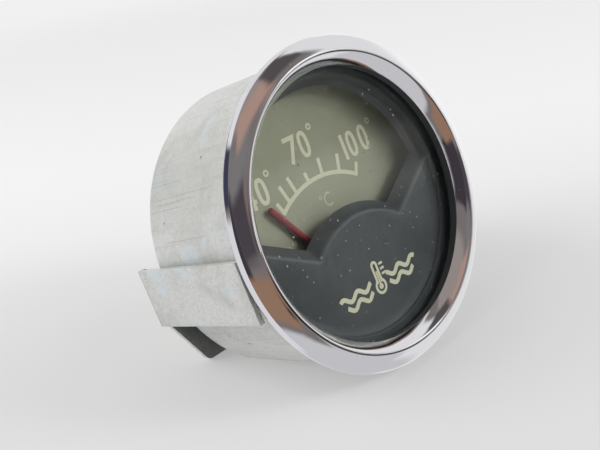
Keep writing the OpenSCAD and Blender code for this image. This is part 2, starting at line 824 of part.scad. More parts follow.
module clamp_nut() {
    r = nut_d / 2;
    shoulder = 1.0;
    knurl_y = nut_front + shoulder - slip_gap;
    color([0.76, 0.63, 0.36]) difference() {
        union() {
            bar(nut_front, nut_front + shoulder, r - 1);
            bar(nut_front + shoulder, nut_back, r);
        }
        bar(nut_front - 1, nut_back + 1, stud_r + run_gap);
        for (i = [0 : nut_grooves - 1]) rotate([0, i * 360 / nut_grooves, 0])
            translate([r, knurl_y, 0]) rotate([0, 45, 0]) translate([-knurl_depth, 0, -knurl_depth])
            cube([2 * knurl_depth, nut_back - knurl_y + 1, 2 * knurl_depth]);
    }
}

case();
bezel();
seal_ring();
glass();
mask();
dial_plate();
dial_screws();
dial_posts();
pointer();
balance_weight();
pointer_hub();
spindle();
armature();
front_bridge();
bridge_posts();
bridge_screws();
front_bearing();
rear_bearing();
bearing_nut();
movement_plate();
movement_screws();
yoke();
yoke_rivets();
pole_piece_left();
pole_piece_right();
bobbin_left();
bobbin_right();
winding_left();
winding_right();
coil_leads();
resistor_spool();
resistor_screw();
terminal_studs();
inner_insulators();
terminal_bushes();
terminal_nuts();
terminal_washers();
centre_stud();
stud_nut();
bracket();
spring_washer();
clamp_nut();
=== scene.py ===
import json
import math

import bmesh
import bpy
import numpy as np
from mathutils import Matrix, Vector


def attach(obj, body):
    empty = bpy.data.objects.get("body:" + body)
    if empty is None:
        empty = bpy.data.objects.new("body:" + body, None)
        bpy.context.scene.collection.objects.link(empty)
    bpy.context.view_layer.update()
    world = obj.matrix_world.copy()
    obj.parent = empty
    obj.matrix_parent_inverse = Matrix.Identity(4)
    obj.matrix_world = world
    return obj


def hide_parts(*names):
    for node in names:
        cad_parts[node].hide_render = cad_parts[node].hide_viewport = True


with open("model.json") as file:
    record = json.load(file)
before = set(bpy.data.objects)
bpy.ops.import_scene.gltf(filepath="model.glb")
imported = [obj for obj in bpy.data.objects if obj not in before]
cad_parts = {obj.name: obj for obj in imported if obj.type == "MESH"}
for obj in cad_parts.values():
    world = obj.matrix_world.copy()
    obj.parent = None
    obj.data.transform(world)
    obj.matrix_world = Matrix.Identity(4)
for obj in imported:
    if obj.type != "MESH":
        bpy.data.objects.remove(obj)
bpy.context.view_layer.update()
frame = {"nodes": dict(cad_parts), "record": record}
mm = 0.001
scene = bpy.context.scene
scene.view_settings.view_transform = "Standard"


# shader expressions

# a method of Sock that adds one Math node
def maths(kind, swapped=False):
    def expression(self, *others):
        values = (self, *others)
        return self.finish.add("ShaderNodeMath", {"operation": kind}, values[::-1] if swapped else values)
    return expression


class Sock:
    # one output socket that takes part in expressions
    def __init__(self, finish, link):
        self.finish, self.link = finish, link

    __add__ = __radd__ = maths("ADD")
    __mul__ = __rmul__ = maths("MULTIPLY")
    __sub__, __rsub__ = maths("SUBTRACT"), maths("SUBTRACT", swapped=True)
    __truediv__, __pow__ = maths("DIVIDE"), maths("POWER")
    atLeast, atMost, size = maths("MAXIMUM"), maths("MINIMUM"), maths("ABSOLUTE")
    bearing, arcsine, fraction = maths("ARCTAN2"), maths("ARCSINE"), maths("FRACT")

    # 0 below low, 1 above high, smooth between
    def step(self, low, high):
        return self.finish.add("ShaderNodeMapRange", {"interpolation_type": "SMOOTHSTEP"},
                               {"Value": self, "From Min": low, "From Max": high})


class Finish:
    # one material, or the world, and the nodes that make it
    def __init__(self, tree):
        self.tree = tree
        tree.nodes.clear()

    def add(self, kind, settings=None, values=None, out=0):
        node = self.tree.nodes.new(kind)
        for key, value in (settings or {}).items():
            setattr(node, key, value)
        for key, value in (values.items() if isinstance(values, dict) else enumerate(values or [])):
            if isinstance(value, Sock):
                self.tree.links.new(value.link, node.inputs[key])
            else:
                node.inputs[key].default_value = value
        return Sock(self, node.outputs[out]) if len(node.outputs) else None

    def vector(self, kind, *values, out="Value"):
        return self.add("ShaderNodeVectorMath", {"operation": kind}, values, out)

    def ray(self, what):
        return self.add("ShaderNodeLightPath", out=what)

    def mix(self, share, low, high):
        low, high = ((*value, 1.0) if isinstance(value, tuple) else value for value in (low, high))
        return self.add("ShaderNodeMix", {"data_type": "RGBA"}, {0: share, 6: low, 7: high}, out=2)

    def noise(self, scale, detail=2.0, rough=0.5, stretch=None, warp=0.0):
        place = self.vector("MULTIPLY", self.place, stretch, out="Vector") if stretch else self.place
        return self.add("ShaderNodeTexNoise", {}, {"Vector": place, "Scale": scale, "Detail": detail,
                                                   "Roughness": rough, "Distortion": warp}, out="Fac")

    # distance to the nearest point of a scattered set
    def scatter(self, scale):
        return self.add("ShaderNodeTexVoronoi", {"feature": "F1"}, {"Vector": self.place, "Scale": scale},
                        out="Distance")

    def away(self, point, place=None):
        return self.vector("DISTANCE", place or self.place, point)

    def along(self, axis):
        return self.add("ShaderNodeSeparateXYZ", {}, [self.place], out=axis)

    def bump(self, height, depth):
        return self.add("ShaderNodeBump", {}, {"Height": height, "Distance": depth * mm}, out="Normal")

    def surface(self, **values):
        named = {}
        for key, value in values.items():
            named[key.replace("_", " ")] = (*value, 1.0) if isinstance(value, tuple) else value
        shader = self.add("ShaderNodeBsdfPrincipled", {}, named)
        self.add("ShaderNodeOutputMaterial", {}, [shader])
        return self.material


# a material whose pattern place is the object's own, in millimetres
def newFinish(name):
    material = bpy.data.materials.new(name)
    material.use_nodes = True
    finish = Finish(material.node_tree)
    finish.material = material
    coords = finish.add("ShaderNodeTexCoord", out="Object")
    finish.place = finish.add("ShaderNodeVectorMath", {"operation": "SCALE"}, {0: coords, "Scale": 1 / mm})
    return finish


# finishes

zincLook = {"pale": (0.665, 0.675, 0.65), "stain": (0.46, 0.465, 0.43), "cool": (0.62, 0.68, 0.71),
            "rust": (0.17, 0.125, 0.065), "pit": (0.25, 0.235, 0.20), "scratch": (0.30, 0.33, 0.33),
            "shade": (0.085, 0.095, 0.095)}


# fine lines along the case's axis as (height, first depth, last depth), and single rust specks as
# (x, y, z, radius, strength)
caseWear = {"scratches": [(12.9, 5.0, 24.0), (12.1, 9.0, 23.0), (11.2, 13.0, 25.0), (6.1, 7.0, 21.0),
                          (15.0, 14.0, 25.0)],
            "marks": [(-19.6, 10.0, 17.1, 0.60, 0.9), (-24.4, 20.1, 9.1, 0.50, 0.95),
                      (-22.7, 18.0, -12.6, 0.55, 0.8), (-22.1, 17.0, -13.7, 0.45, 0.8),
                      (-21.3, 15.3, -14.9, 0.75, 0.9), (-21.6, 19.5, 13.6, 0.8, 0.35),
                      (15.0, 12.0, -21.2, 0.7, 0.8), (24.0, 21.0, 10.0, 0.6, 0.7),
                      (8.0, 19.0, 24.7, 0.5, 0.7), (20.0, 7.5, 16.6, 0.45, 0.8),
                      (-2.5, 24.6, 25.8, 0.9, 0.5), (-7.0, 24.6, 25.0, 0.7, 0.4)]}


# bright zinc plate gone matt; between two depths the colour is darkened with painted shade
def zincPlated(name, pits, stains, streaks, scratches=(), marks=(), paintedShadeFrom=None):
    f = newFinish(name)
    cloud = f.noise(0.13, 4.0, 0.62, warp=0.6).step(0.42, 0.70)
    fine = f.noise(1.5, 5.0, 0.75).step(0.42, 0.66)
    grit = f.noise(5.5, 3.0, 0.7).step(0.50, 0.72)
    colour = zincLook["pale"]
    for layer, share in ((cloud, 0.50), (fine, 0.36), (grit, 0.50)):
        colour = f.mix(layer * (share * stains), colour, zincLook["stain"])
    cool = f.noise(0.15, 2.0, 0.5, warp=0.3).step(0.58, 0.70)
    colour = f.mix(cool * 0.75, colour, zincLook["cool"])
    lines = f.noise(1.7, 3.0, 0.6, stretch=(1.0, 0.04, 1.0)).step(0.50, 0.70)
    colour = f.mix(lines * (0.30 * streaks), colour, zincLook["stain"])
    patch = f.noise(0.30, 3.0, 0.6).step(0.44, 0.66)
    pit = (1 - f.scatter(2.3).step(0.10, 0.26)) * patch
    colour = f.mix(pit * pits, colour, zincLook["pit"])
    height = lines * 0.4 - pit * 0.8 + f.noise(2.4, 4.0, 0.7) * 0.5
    if scratches:
        y, z = f.along("Y"), f.along("Z")
        wander = f.noise(0.05, 2.0) * 0.5
        for level, low, high in scratches:
            ends = y.step(low, low + 3) * (1 - y.step(high - 2, high))
            line = (1 - (z + wander - level).size().step(0.03, 0.11)) * ends
            colour = f.mix(line * 0.38, colour, zincLook["scratch"])
            height = height - line * 0.6
    spot = 0.0
    for x, y, z, radius, strength in marks:
        ragged = f.away((x, y, z)) + f.noise(2.2, 3.0, 0.7) * (1.6 * radius)
        spot = (1 - ragged.step(0.7 * radius, 1.5 * radius)) * strength + spot
    if marks:
        colour = f.mix(spot.atMost(0.95), colour, zincLook["rust"])
    # painted shade: between the two depths, where the bracket plate's front face sits behind the case, the
    # colour is darkened as if in shadow
    if paintedShadeFrom:
        back = f.along("Y")
        start, end = (back.step(depth, depth + 0.05) for depth in paintedShadeFrom)
        colour = f.mix(start * (1 - end) * 0.72, colour, zincLook["shade"])
    rough = 0.42 + fine * 0.14
    return f.surface(Base_Color=colour, Metallic=0.42, Roughness=rough, Normal=f.bump(height, 0.02))


def chromePlated():
    f = newFinish("chromePlated")
    pit = (1 - f.scatter(1.7).step(0.05, 0.13)) * f.noise(0.5, 2.0).step(0.56, 0.64)
    haze = f.noise(0.4, 4.0, 0.65).step(0.45, 0.8)
    wave = f.noise(0.30, 1.0)
    colour = f.mix(pit * 0.85, (0.88, 0.88, 0.90), (0.06, 0.05, 0.045))
    rough = 0.035 + haze * 0.05 + pit * 0.4
    return f.surface(Base_Color=colour, Metallic=1.0, Roughness=rough,
                     Normal=f.bump(wave * 0.5 - pit * 0.25, 0.05))


def machined(name, colour, dark, rough):
    f = newFinish(name)
    tarnish = f.noise(0.45, 4.0, 0.65).step(0.42, 0.72)
    grain = f.noise(4.2, 3.0, 0.6)
    mixed = f.mix(tarnish * 0.75, colour, dark)
    mixed = f.mix(grain.step(0.5, 0.75) * 0.3, mixed, dark)
    return f.surface(Base_Color=mixed, Metallic=1.0, Roughness=rough + tarnish * 0.16,
                     Normal=f.bump(grain, 0.012))


def moulded(name, colour, pale, rough, grit=0.012):
    f = newFinish(name)
    grain = f.noise(5.0, 3.0, 0.6)
    cloud = f.noise(0.25, 3.0).step(0.42, 0.70)
    mixed = f.mix(cloud * 0.35, colour, pale)
    return f.surface(Base_Color=mixed, Roughness=rough + cloud * 0.08, Normal=f.bump(grain, grit))


def maskPaint(m):
    f = newFinish("slatePaint")
    cloud = f.noise(0.10, 3.0, 0.6).step(0.35, 0.70)
    colour = f.mix(cloud, (0.058, 0.064, 0.069), (0.080, 0.085, 0.088))
    dust = (1 - f.scatter(0.55).step(0.035, 0.075)) * f.noise(0.35, 2.0).step(0.5, 0.6)
    colour = f.mix(dust * 0.7, colour, (0.30, 0.31, 0.30))

    # painted highlight: the colour is lighter along the creases round the window, where the rounded edges
    # catch the light
    slope = math.radians(m["sillAngle"])
    sill = f.along("X").size() * math.tan(slope) + m["sill"] - f.along("Z")
    sill = sill * (math.cos(slope) / m["sillRun"])
    flat = f.vector("MULTIPLY", f.place, (1, 0, 1), out="Vector")
    hump = (m["hump"] - f.away((0, 0, m["humpZ"]), flat)) / m["humpRun"]
    top = (f.away((0, 0, 0), flat) - m["window"]) / m["run"]
    crease = 1 - (sill.atLeast(hump).atLeast(top) - 1).size().step(0.0, 0.26)
    colour = f.mix(crease * 0.34, colour, (0.19, 0.20, 0.205))
    grain = f.noise(4.0, 3.0, 0.6)
    return f.surface(Base_Color=colour, Roughness=0.30 + cloud * 0.06, Normal=f.bump(grain, 0.010))


def dialPaint():
    f = newFinish("dialPaint")
    cloud = f.noise(0.09, 3.0, 0.6).step(0.3, 0.75)
    fine = f.noise(2.5, 3.0, 0.65)
    colour = f.mix(cloud, (0.305, 0.297, 0.214), (0.350, 0.342, 0.255))
    colour = f.mix(fine.step(0.5, 0.8) * 0.25, colour, (0.25, 0.245, 0.17))
    speck = 1 - (f.away((-2.7, 8.5, 9.2)) + fine * 0.25).step(0.24, 0.42)
    colour = f.mix(speck * 0.8, colour, (0.10, 0.085, 0.05))
    return f.surface(Base_Color=colour, Roughness=0.62, Normal=f.bump(fine, 0.008))


def printedInk(name, colour):
    f = newFinish(name)
    wear = f.noise(1.8, 4.0, 0.65).step(0.50, 0.85)
    mixed = f.mix(wear * 0.35, colour, tuple(0.72 * c for c in colour))
    return f.surface(Base_Color=mixed, Roughness=0.55, Normal=f.bump(f.noise(6.0, 2.0), 0.006))


def pointerPaint():
    f = newFinish("pointerPaint")
    fade = f.noise(0.5, 3.0).step(0.4, 0.7)
    colour = f.mix(fade * 0.5, (0.29, 0.020, 0.036), (0.20, 0.018, 0.030))
    return f.surface(Base_Color=colour, Roughness=0.30 + fade * 0.1,
                     Normal=f.bump(f.noise(3.0, 2.0), 0.008))


def clearGlass():
    f = newFinish("clearGlass")
    speck = (1 - f.scatter(0.55).step(0.06, 0.12)) * f.noise(0.3, 2.0).step(0.42, 0.50)
    facing = f.add("ShaderNodeLayerWeight", {}, {"Blend": 0.5}, out="Facing")
    shine = 0.02 + facing ** 5 * 0.6
    clear = f.add("ShaderNodeBsdfTransparent", {}, {"Color": (0.97, 0.985, 0.98, 1)})
    colour = f.mix(speck, (0.95, 0.95, 0.95), (0.5, 0.5, 0.48))
    gloss = f.add("ShaderNodeBsdfPrincipled", {}, {"Base Color": colour, "Metallic": 1 - speck,
                                                   "Roughness": 0.02 + speck * 0.9})
    glass = f.add("ShaderNodeMixShader", {}, [shine.atLeast(speck * 0.5), clear, gloss])
    f.add("ShaderNodeOutputMaterial", {}, [glass])
    return f.material


finishes = {
    "case": zincPlated("zincCase", 0.38, 0.95, 1.0, **caseWear),
    # the bracket's finish carries painted shade on the plate's front face
    "bracket": zincPlated("zincBracket", 0.8, 1.25, 0.0, paintedShadeFrom=(28.0, 28.22)),
    "plated": machined("platedSteel", (0.62, 0.63, 0.61), (0.40, 0.40, 0.37), 0.34),
    "chrome": chromePlated(),
    "rubber": moulded("blackRubber", (0.055, 0.058, 0.062), (0.075, 0.078, 0.08), 0.5),
    "glass": clearGlass(),
    "dial": dialPaint(),
    "ink": printedInk("creamInk", (0.64, 0.61, 0.45)),
    "faintInk": printedInk("faintInk", (0.50, 0.485, 0.36)),
    "pointer": pointerPaint(),
    "brass": machined("brass", (0.62, 0.44, 0.18), (0.36, 0.24, 0.10), 0.30),
    "steel": machined("brightSteel", (0.55, 0.55, 0.56), (0.34, 0.33, 0.32), 0.26),
    "iron": machined("softIron", (0.34, 0.34, 0.35), (0.22, 0.20, 0.19), 0.42),
    "copper": machined("enamelledCopper", (0.50, 0.19, 0.075), (0.30, 0.10, 0.045), 0.24),
    "bobbin": moulded("bobbinBrown", (0.10, 0.035, 0.020), (0.15, 0.06, 0.035), 0.42),
    "fibre": moulded("redFibre", (0.19, 0.060, 0.035), (0.25, 0.10, 0.06), 0.62, 0.03),
    "ceramic": moulded("ceramic", (0.62, 0.58, 0.49), (0.70, 0.67, 0.59), 0.55, 0.02),
}
slotFinish = {"zinc_plate": "plated", "chrome": "chrome", "black_rubber": "rubber", "clear_glass": "glass",
              "slate_mask": "mask", "dial_paint": "dial", "pointer_red": "pointer", "brass": "brass",
              "steel": "steel", "soft_iron": "iron", "copper": "copper", "bobbin_brown": "bobbin",
              "fibre": "fibre", "ceramic": "ceramic"}
print("finishes made")


# camera, table and light

def placed(name, data, matrix=Matrix.Identity(4)):
    obj = bpy.data.objects.new(name, data)
    scene.collection.objects.link(obj)
    obj.matrix_world = matrix
    return obj


# matrix of a flat thing that faces a direction, a distance in millimetres along it
def facingAlong(direction, distance):
    to = Vector(direction).normalized()
    return Matrix.Translation(to * distance * mm) @ to.to_track_quat("Z", "Y").to_matrix().to_4x4()


shot = {"place": (-102.2, -106.81, 25.4), "right": (0.6759, -0.6381, -0.3688),
        "up": (0.3877, -0.1178, 0.9142), "lens": 54.0, "sensor": 36.0, "clip": (0.005, 20.0)}


def makeCamera():
    right = Vector(shot["right"]).normalized()
    up = Vector(shot["up"])
    up = (up - right * up.dot(right)).normalized()
    turn = Matrix((right, up, right.cross(up))).transposed().to_4x4()
    lens = bpy.data.cameras.new("camera")
    lens.lens, lens.sensor_width = shot["lens"], shot["sensor"]
    lens.clip_start, lens.clip_end = shot["clip"]
    scene.camera = placed("camera", lens, Matrix.Translation(Vector(shot["place"]) * mm) @ turn)


makeCamera()

# the gauge leans back on its bezel and on the foot of its bracket
# near and far are the tones of the painted shade that darkens the table towards the camera's side
table = {"normal": (0.0, -0.3438, 0.9390), "drop": 26.6, "reach": 420.0, "fade": (270.0, 410.0),
         "far": (0.815, 0.815, 0.815), "near": (0.667, 0.667, 0.667), "glow": 1.0, "glowShare": 0.48,
         "across": (0.66, 0.70, 0.20), "span": (-40, 120)}


def makeTable():
    mesh = bpy.data.meshes.new("table")
    work = bmesh.new()
    bmesh.ops.create_circle(work, cap_ends=True, segments=96, radius=table["reach"] * mm)
    work.transform(facingAlong(table["normal"], -table["drop"]))
    work.to_mesh(mesh)
    work.free()
    obj = placed("table", mesh)
    f = newFinish("tableTop")
    span = f.vector("LENGTH", f.place)
    under = f.add("ShaderNodeNewGeometry", out="Backfacing")
    fade = span.step(*table["fade"]).atLeast(under).atLeast(f.ray("Is Glossy Ray"))
    # painted shade: the table's colour runs from the darker near tone on the camera's side to the paler far
    # tone, standing in for light that falls off across the table
    across = f.vector("DOT_PRODUCT", f.place, table["across"])
    shade = f.mix(across.step(*table["span"]), table["near"], table["far"])
    paper = f.add("ShaderNodeBsdfDiffuse", {}, {"Color": shade})
    glow = f.add("ShaderNodeEmission", {}, {"Color": shade, "Strength": table["glow"]})
    paper = f.add("ShaderNodeMixShader", {}, [f.ray("Is Camera Ray") * table["glowShare"], paper, glow])
    clear = f.add("ShaderNodeBsdfTransparent")
    f.add("ShaderNodeOutputMaterial", {}, [f.add("ShaderNodeMixShader", {}, [fade, paper, clear])])
    mesh.materials.append(f.material)


makeTable()

lamps = [{"name": "key", "to": (0.48, -0.85, 0.22), "away": 800, "size": 270, "power": 2.5},
         {"name": "wide", "to": (0.48, -0.85, 0.22), "away": 800, "size": 1000, "power": 3.3},
         {"name": "window", "to": (-0.66, 0.22, 0.72), "away": 600, "size": 420, "power": 2.3}]
for lamp in lamps:
    data = bpy.data.lights.new(lamp["name"], "AREA")
    data.shape, data.size, data.energy = "DISK", lamp["size"] * mm, lamp["power"]
    obj = placed(lamp["name"], data, facingAlong(lamp["to"], lamp["away"]))
    obj.visible_glossy = False

# soft rectangles of one colour that are seen in reflections only, each over the ones before it: angle from
# the front to the right and height above the horizon, half widths and softness, all in degrees
cards = [
    {"at": (0, -72), "half": (200, 30), "soft": 6, "colour": (0.58, 0.58, 0.60)},
    {"at": (120, 0), "half": (65, 55), "soft": 8, "colour": (0.78, 0.78, 0.79)},
    {"at": (108, 0), "half": (22, 14), "soft": 14, "colour": (0.97, 0.97, 0.98)},
    {"at": (152, -4), "half": (34, 34), "soft": 10, "colour": (0.97, 0.97, 0.98)},
    {"at": (-127, -24), "half": (59, 42), "soft": 10, "colour": (0.74, 0.73, 0.76)},
    {"at": (140, 68), "half": (60, 24), "soft": 8, "colour": (0.75, 0.75, 0.75)},
    {"at": (-130, 72), "half": (60, 20), "soft": 10, "colour": (0.80, 0.78, 0.82)},
    {"at": (-97, 41), "half": (30, 17), "soft": 6, "colour": (0.05, 0.05, 0.09)},
    {"at": (-8, 66), "half": (62, 20), "soft": 12, "colour": (0.31, 0.27, 0.25)},
    {"at": (-50, 3), "half": (16, 22), "soft": 6, "colour": (0.05, 0.04, 0.05)},
    {"at": (-30, -26), "half": (28, 11), "soft": 6, "colour": (0.30, 0.18, 0.12)},
    {"at": (-20, 5), "half": (16, 14), "soft": 8, "colour": (0.07, 0.06, 0.07)},
    {"at": (-14, 28), "half": (20, 10), "soft": 10, "colour": (0.20, 0.19, 0.19)},
    {"at": (8, 42), "half": (22, 10), "soft": 10, "colour": (0.42, 0.28, 0.23)},
    {"at": (40, 48), "half": (14, 12), "soft": 8, "colour": (0.09, 0.08, 0.08)},
    {"at": (24, -21), "half": (28, 9), "soft": 5, "colour": (0.03, 0.03, 0.03)},
    {"at": (12, 1), "half": (18, 14), "soft": 8, "colour": (0.20, 0.16, 0.16)},
    {"at": (44, 14), "half": (9, 14), "soft": 6, "colour": (1.00, 1.00, 1.00)},
    {"at": (34, -8), "half": (16, 2), "soft": 1.5, "colour": (1.00, 1.00, 0.95)},
]
# the room's tones: shell behind the cards, plain walls with two sides of their own, and the pale backdrop
room = {"shell": (0.19, 0.17, 0.165), "around": 0.62, "top": 0.88, "bottom": 0.80, "blend": (-0.3, 0.3),
        "sides": [{"to": (-0.95, 0.10, 0.30), "span": (0.1, 0.8), "tone": 0.95},
                  {"to": (-0.15, -0.98, -0.10), "span": (0.2, 0.7), "tone": 0.08}]}


def grey(tone):
    return (tone,) * 3


def makeRoom():
    world = bpy.data.worlds.new("room")
    scene.world = world
    world.use_nodes = True
    f = Finish(world.node_tree)
    f.place = f.add("ShaderNodeTexCoord", out="Generated")
    x, y, z = (f.along(axis) for axis in "XYZ")
    degree = 180 / math.pi
    azimuth = x.bearing(0 - y) * degree
    height = z.arcsine() * degree
    colour = room["shell"]
    for card in cards:
        near = []
        for value, middle, half in zip((azimuth, height), card["at"], card["half"]):
            edge = (half - card["soft"] / 2, half + card["soft"] / 2)
            near.append(1 - (value - middle).size().step(*edge))
        colour = f.mix(near[0] * near[1], colour, card["colour"])
    plain = grey(room["around"])
    for side in room["sides"]:
        facing = f.vector("DOT_PRODUCT", f.place, side["to"]).step(*side["span"])
        plain = f.mix(facing, plain, grey(side["tone"]))
    slope = f.vector("DOT_PRODUCT", f.place, shot["up"])
    sky = f.mix(slope.step(*room["blend"]), grey(room["bottom"]), grey(room["top"]))
    shown = f.mix(f.ray("Is Camera Ray"), f.mix(f.ray("Is Glossy Ray"), plain, colour), sky)
    light = f.add("ShaderNodeBackground", {}, {"Color": shown, "Strength": 1.0})
    f.add("ShaderNodeOutputWorld", {}, [light])


makeRoom()
print("camera, table and light placed")


# mesh helpers, all in millimetres

def asMesh(name, points, faces):
    mesh = bpy.data.meshes.new(name)
    mesh.from_pydata([tuple(c * mm for c in p) for p in points], [], faces)
    return placed(name, mesh)


# smooth shading, with edges over the angle kept crisp
def smooth(obj, angle):
    obj.data.polygons.foreach_set("use_smooth", [True] * len(obj.data.polygons))
    obj.data.set_sharp_from_angle(angle=math.radians(angle))
    obj.data.update()


# closed mesh with its faces outwards
def solid(name, points, faces, edge=None):
    obj = asMesh(name, points, faces)
    work = bmesh.new()
    work.from_mesh(obj.data)
    bmesh.ops.remove_doubles(work, verts=work.verts, dist=1e-7)
    bmesh.ops.recalc_face_normals(work, faces=work.faces)
    work.to_mesh(obj.data)
    work.free()
    if edge:
        smooth(obj, edge)
    return obj


# faces between rows of points, where every row is closed, and the last row meets the first if wrapped
def loftFaces(rows, columns, wrapped=True):
    faces = []
    for i in range(rows if wrapped else rows - 1):
        near, far = i * columns, (i + 1) % rows * columns
        for k in range(columns):
            n = (k + 1) % columns
            faces.append([near + k, near + n, far + n, far + k])
    return faces


# the modifiers' result, as the object's own mesh
def applied(obj):
    bpy.context.view_layer.update()
    made = bpy.data.meshes.new_from_object(obj.evaluated_get(bpy.context.evaluated_depsgraph_get()))
    obj.modifiers.clear()
    obj.data = made
    return obj


def settle(obj, finish, body, node=None):
    obj.data.materials.clear()
    obj.data.materials.append(finishes[finish])
    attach(obj, body)
    if node:
        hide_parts(node)


def joined(name, first, *others):
    work = bmesh.new()
    for obj in (first, *others):
        work.from_mesh(obj.data)
    work.to_mesh(first.data)
    work.free()
    for obj in others:
        bpy.data.objects.remove(obj)
    first.name = name
    return first


# corners are (x, y, radius); the line comes back with its corners rounded and a point close to each arc
def rounded(corners, steps, support=0.08):
    count, line = len(corners), []
    for i, (x, y, radius) in enumerate(corners):
        corner = np.array((x, y), float)
        before = np.array(corners[i - 1][:2], float) - corner
        after = np.array(corners[(i + 1) % count][:2], float) - corner
        if not radius:
            line.append(tuple(corner))
            continue
        lengths = np.linalg.norm(before), np.linalg.norm(after)
        before, after = before / lengths[0], after / lengths[1]
        half = math.acos(max(-1, min(1, float(before @ after)))) / 2
        reach = radius / math.tan(half)
        middle = corner + (before + after) / np.linalg.norm(before + after) * radius / math.sin(half)
        start, end = corner + before * reach, corner + after * reach
        if lengths[0] > reach + 3 * support:
            line.append(tuple(start + before * support))
        first = math.atan2(*(start - middle)[::-1])
        swing = (math.atan2(*(end - middle)[::-1]) - first + math.pi) % (2 * math.pi) - math.pi
        for k in range(steps + 1):
            angle = first + swing * k / steps
            line.append((middle[0] + radius * math.cos(angle), middle[1] + radius * math.sin(angle)))
        if lengths[1] > reach + 3 * support:
            line.append(tuple(end + after * support))
    return line


# closed outline of (radius, depth) turned about the gauge's axis or a line beside it
def turned(name, outline, steps=256, at=(0, 0), edge=32):
    points, faces, rings = [], [], []
    for radius, depth in outline:
        if radius < 1e-6:
            rings.append([len(points)] * steps)
            points.append((at[0], depth, at[1]))
            continue
        rings.append(list(range(len(points), len(points) + steps)))
        for k in range(steps):
            angle = 2 * math.pi * k / steps
            points.append((at[0] + radius * math.sin(angle), depth, at[1] + radius * math.cos(angle)))
    for a, b in zip(rings, rings[1:] + rings[:1]):
        for k in range(steps):
            n = (k + 1) % steps
            face = [a[k], a[n], b[n], b[k]]
            face = [v for i, v in enumerate(face) if v not in face[:i]]
            if len(face) > 2:
                faces.append(face)
    return solid(name, points, faces, edge)


# cuts straight bores (radius, x, z) through a piece between two depths
def bored(obj, bores, low, high):
    cutAway(obj, [turned("cutter", [(0, low), (radius, low), (radius, high), (0, high)], 64, (x, z))
                  for radius, x, z in bores])


def cutAway(obj, parts):
    for part in parts:
        cut = obj.modifiers.new("cut", "BOOLEAN")
        cut.operation, cut.solver, cut.object = "DIFFERENCE", "EXACT", part
    applied(obj)
    for part in parts:
        bpy.data.objects.remove(part)


# flat outline (x, z) with straight sides from one depth to another
def slab(name, outline, low, high):
    count = len(outline)
    points = [(x, depth, z) for depth in (low, high) for x, z in outline]
    faces = [list(range(count)), list(range(2 * count - 1, count - 1, -1))]
    return solid(name, points, faces + loftFaces(2, count, wrapped=False))


# line of even width with mitred bends, as an outline pair
def ribbon(line, width, closed=False):
    line = [np.array(p, float) for p in line]
    count = len(line)
    sides = []
    for i, point in enumerate(line):
        before = line[i - 1] if closed or i else None
        after = line[(i + 1) % count] if closed or i < count - 1 else None
        normals = []
        for a, b in ((before, point), (point, after)):
            if a is not None and b is not None:
                d = (b - a) / np.linalg.norm(b - a)
                normals.append(np.array((-d[1], d[0])))
        normal = sum(normals) / len(normals)
        normal = normal / (normal @ normal)
        sides.append((point + normal * width / 2, point - normal * width / 2))
    return sides


inkForm = {"proud": 0.025, "thick": 0.05}


# several strokes as one thin printed layer on a flat face; where strokes cross, one is lifted over the other
def printed(name, strokes, depth):
    rear = depth - inkForm["proud"] + inkForm["thick"]
    points, faces = [], []
    for stroke in strokes:
        closed = stroke.get("closed", False)
        sides = ribbon(stroke["line"], stroke["width"], closed)
        front = depth - inkForm["proud"] - stroke.get("lift", 0)
        first = len(points)
        for pair in sides:
            for x, z in pair:
                points += [(x, front, z), (x, rear, z)]
        count = len(sides)
        for k in range(count if closed else count - 1):
            a, b = first + 4 * k, first + 4 * ((k + 1) % count)
            faces += [[a, b, b + 2, a + 2], [a + 1, a + 3, b + 3, b + 1],
                      [a, a + 1, b + 1, b], [a + 2, b + 2, b + 3, a + 3]]
        if not closed:
            for a in (first, first + 4 * (count - 1)):
                faces.append([a, a + 1, a + 3, a + 2])
    return solid(name, points, faces)


# geometry node recipes

class Recipe(Finish):
    # a geometry tree with named inputs
    def __init__(self, name, **inputs):
        tree = bpy.data.node_groups.new(name, "GeometryNodeTree")
        super().__init__(tree)
        kinds = {"geometry": "NodeSocketGeometry", "object": "NodeSocketObject",
                 "material": "NodeSocketMaterial", "number": "NodeSocketFloat"}
        self.keys = {}
        for label, kind in inputs.items():
            socket = tree.interface.new_socket(name=label, in_out="INPUT", socket_type=kinds[kind])
            self.keys[label] = socket.identifier
        tree.interface.new_socket(name="shape", in_out="OUTPUT", socket_type=kinds["geometry"])
        given = tree.nodes.new("NodeGroupInput")
        self.given = {label: Sock(self, given.outputs[label]) for label in inputs}

    def close(self, shape):
        whole = self.add("GeometryNodeRealizeInstances", {}, [shape])
        dressed = self.add("GeometryNodeSetMaterial", {}, {"Geometry": whole,
                                                           "Material": self.given["finish"]})
        self.add("NodeGroupOutput", {}, [dressed])

    # runs the recipe on an object and leaves a plain mesh
    def make(self, obj, **values):
        step = obj.modifiers.new("recipe", "NODES")
        step.node_group = self.tree
        for label, value in values.items():
            step[self.keys[label]] = value
        return applied(obj)


def repeatRecipe():
    r = Recipe("repeatAtPoints", base="geometry", form="object", finish="material")
    form = r.add("GeometryNodeObjectInfo", {"transform_space": "ORIGINAL"}, {"Object": r.given["form"]},
                 out="Geometry")
    turnBy, reach = (r.add("GeometryNodeInputNamedAttribute", {"data_type": "FLOAT"}, {"Name": label},
                           out="Attribute") for label in ("turn", "reach"))
    placed = r.add("GeometryNodeInstanceOnPoints", {}, {
        "Points": r.given["base"], "Instance": form,
        "Rotation": r.add("ShaderNodeCombineXYZ", {}, {"Y": turnBy}),
        "Scale": r.add("ShaderNodeCombineXYZ", {}, {"X": 1.0, "Y": 1.0, "Z": reach})}, out="Instances")
    r.close(placed)
    return r


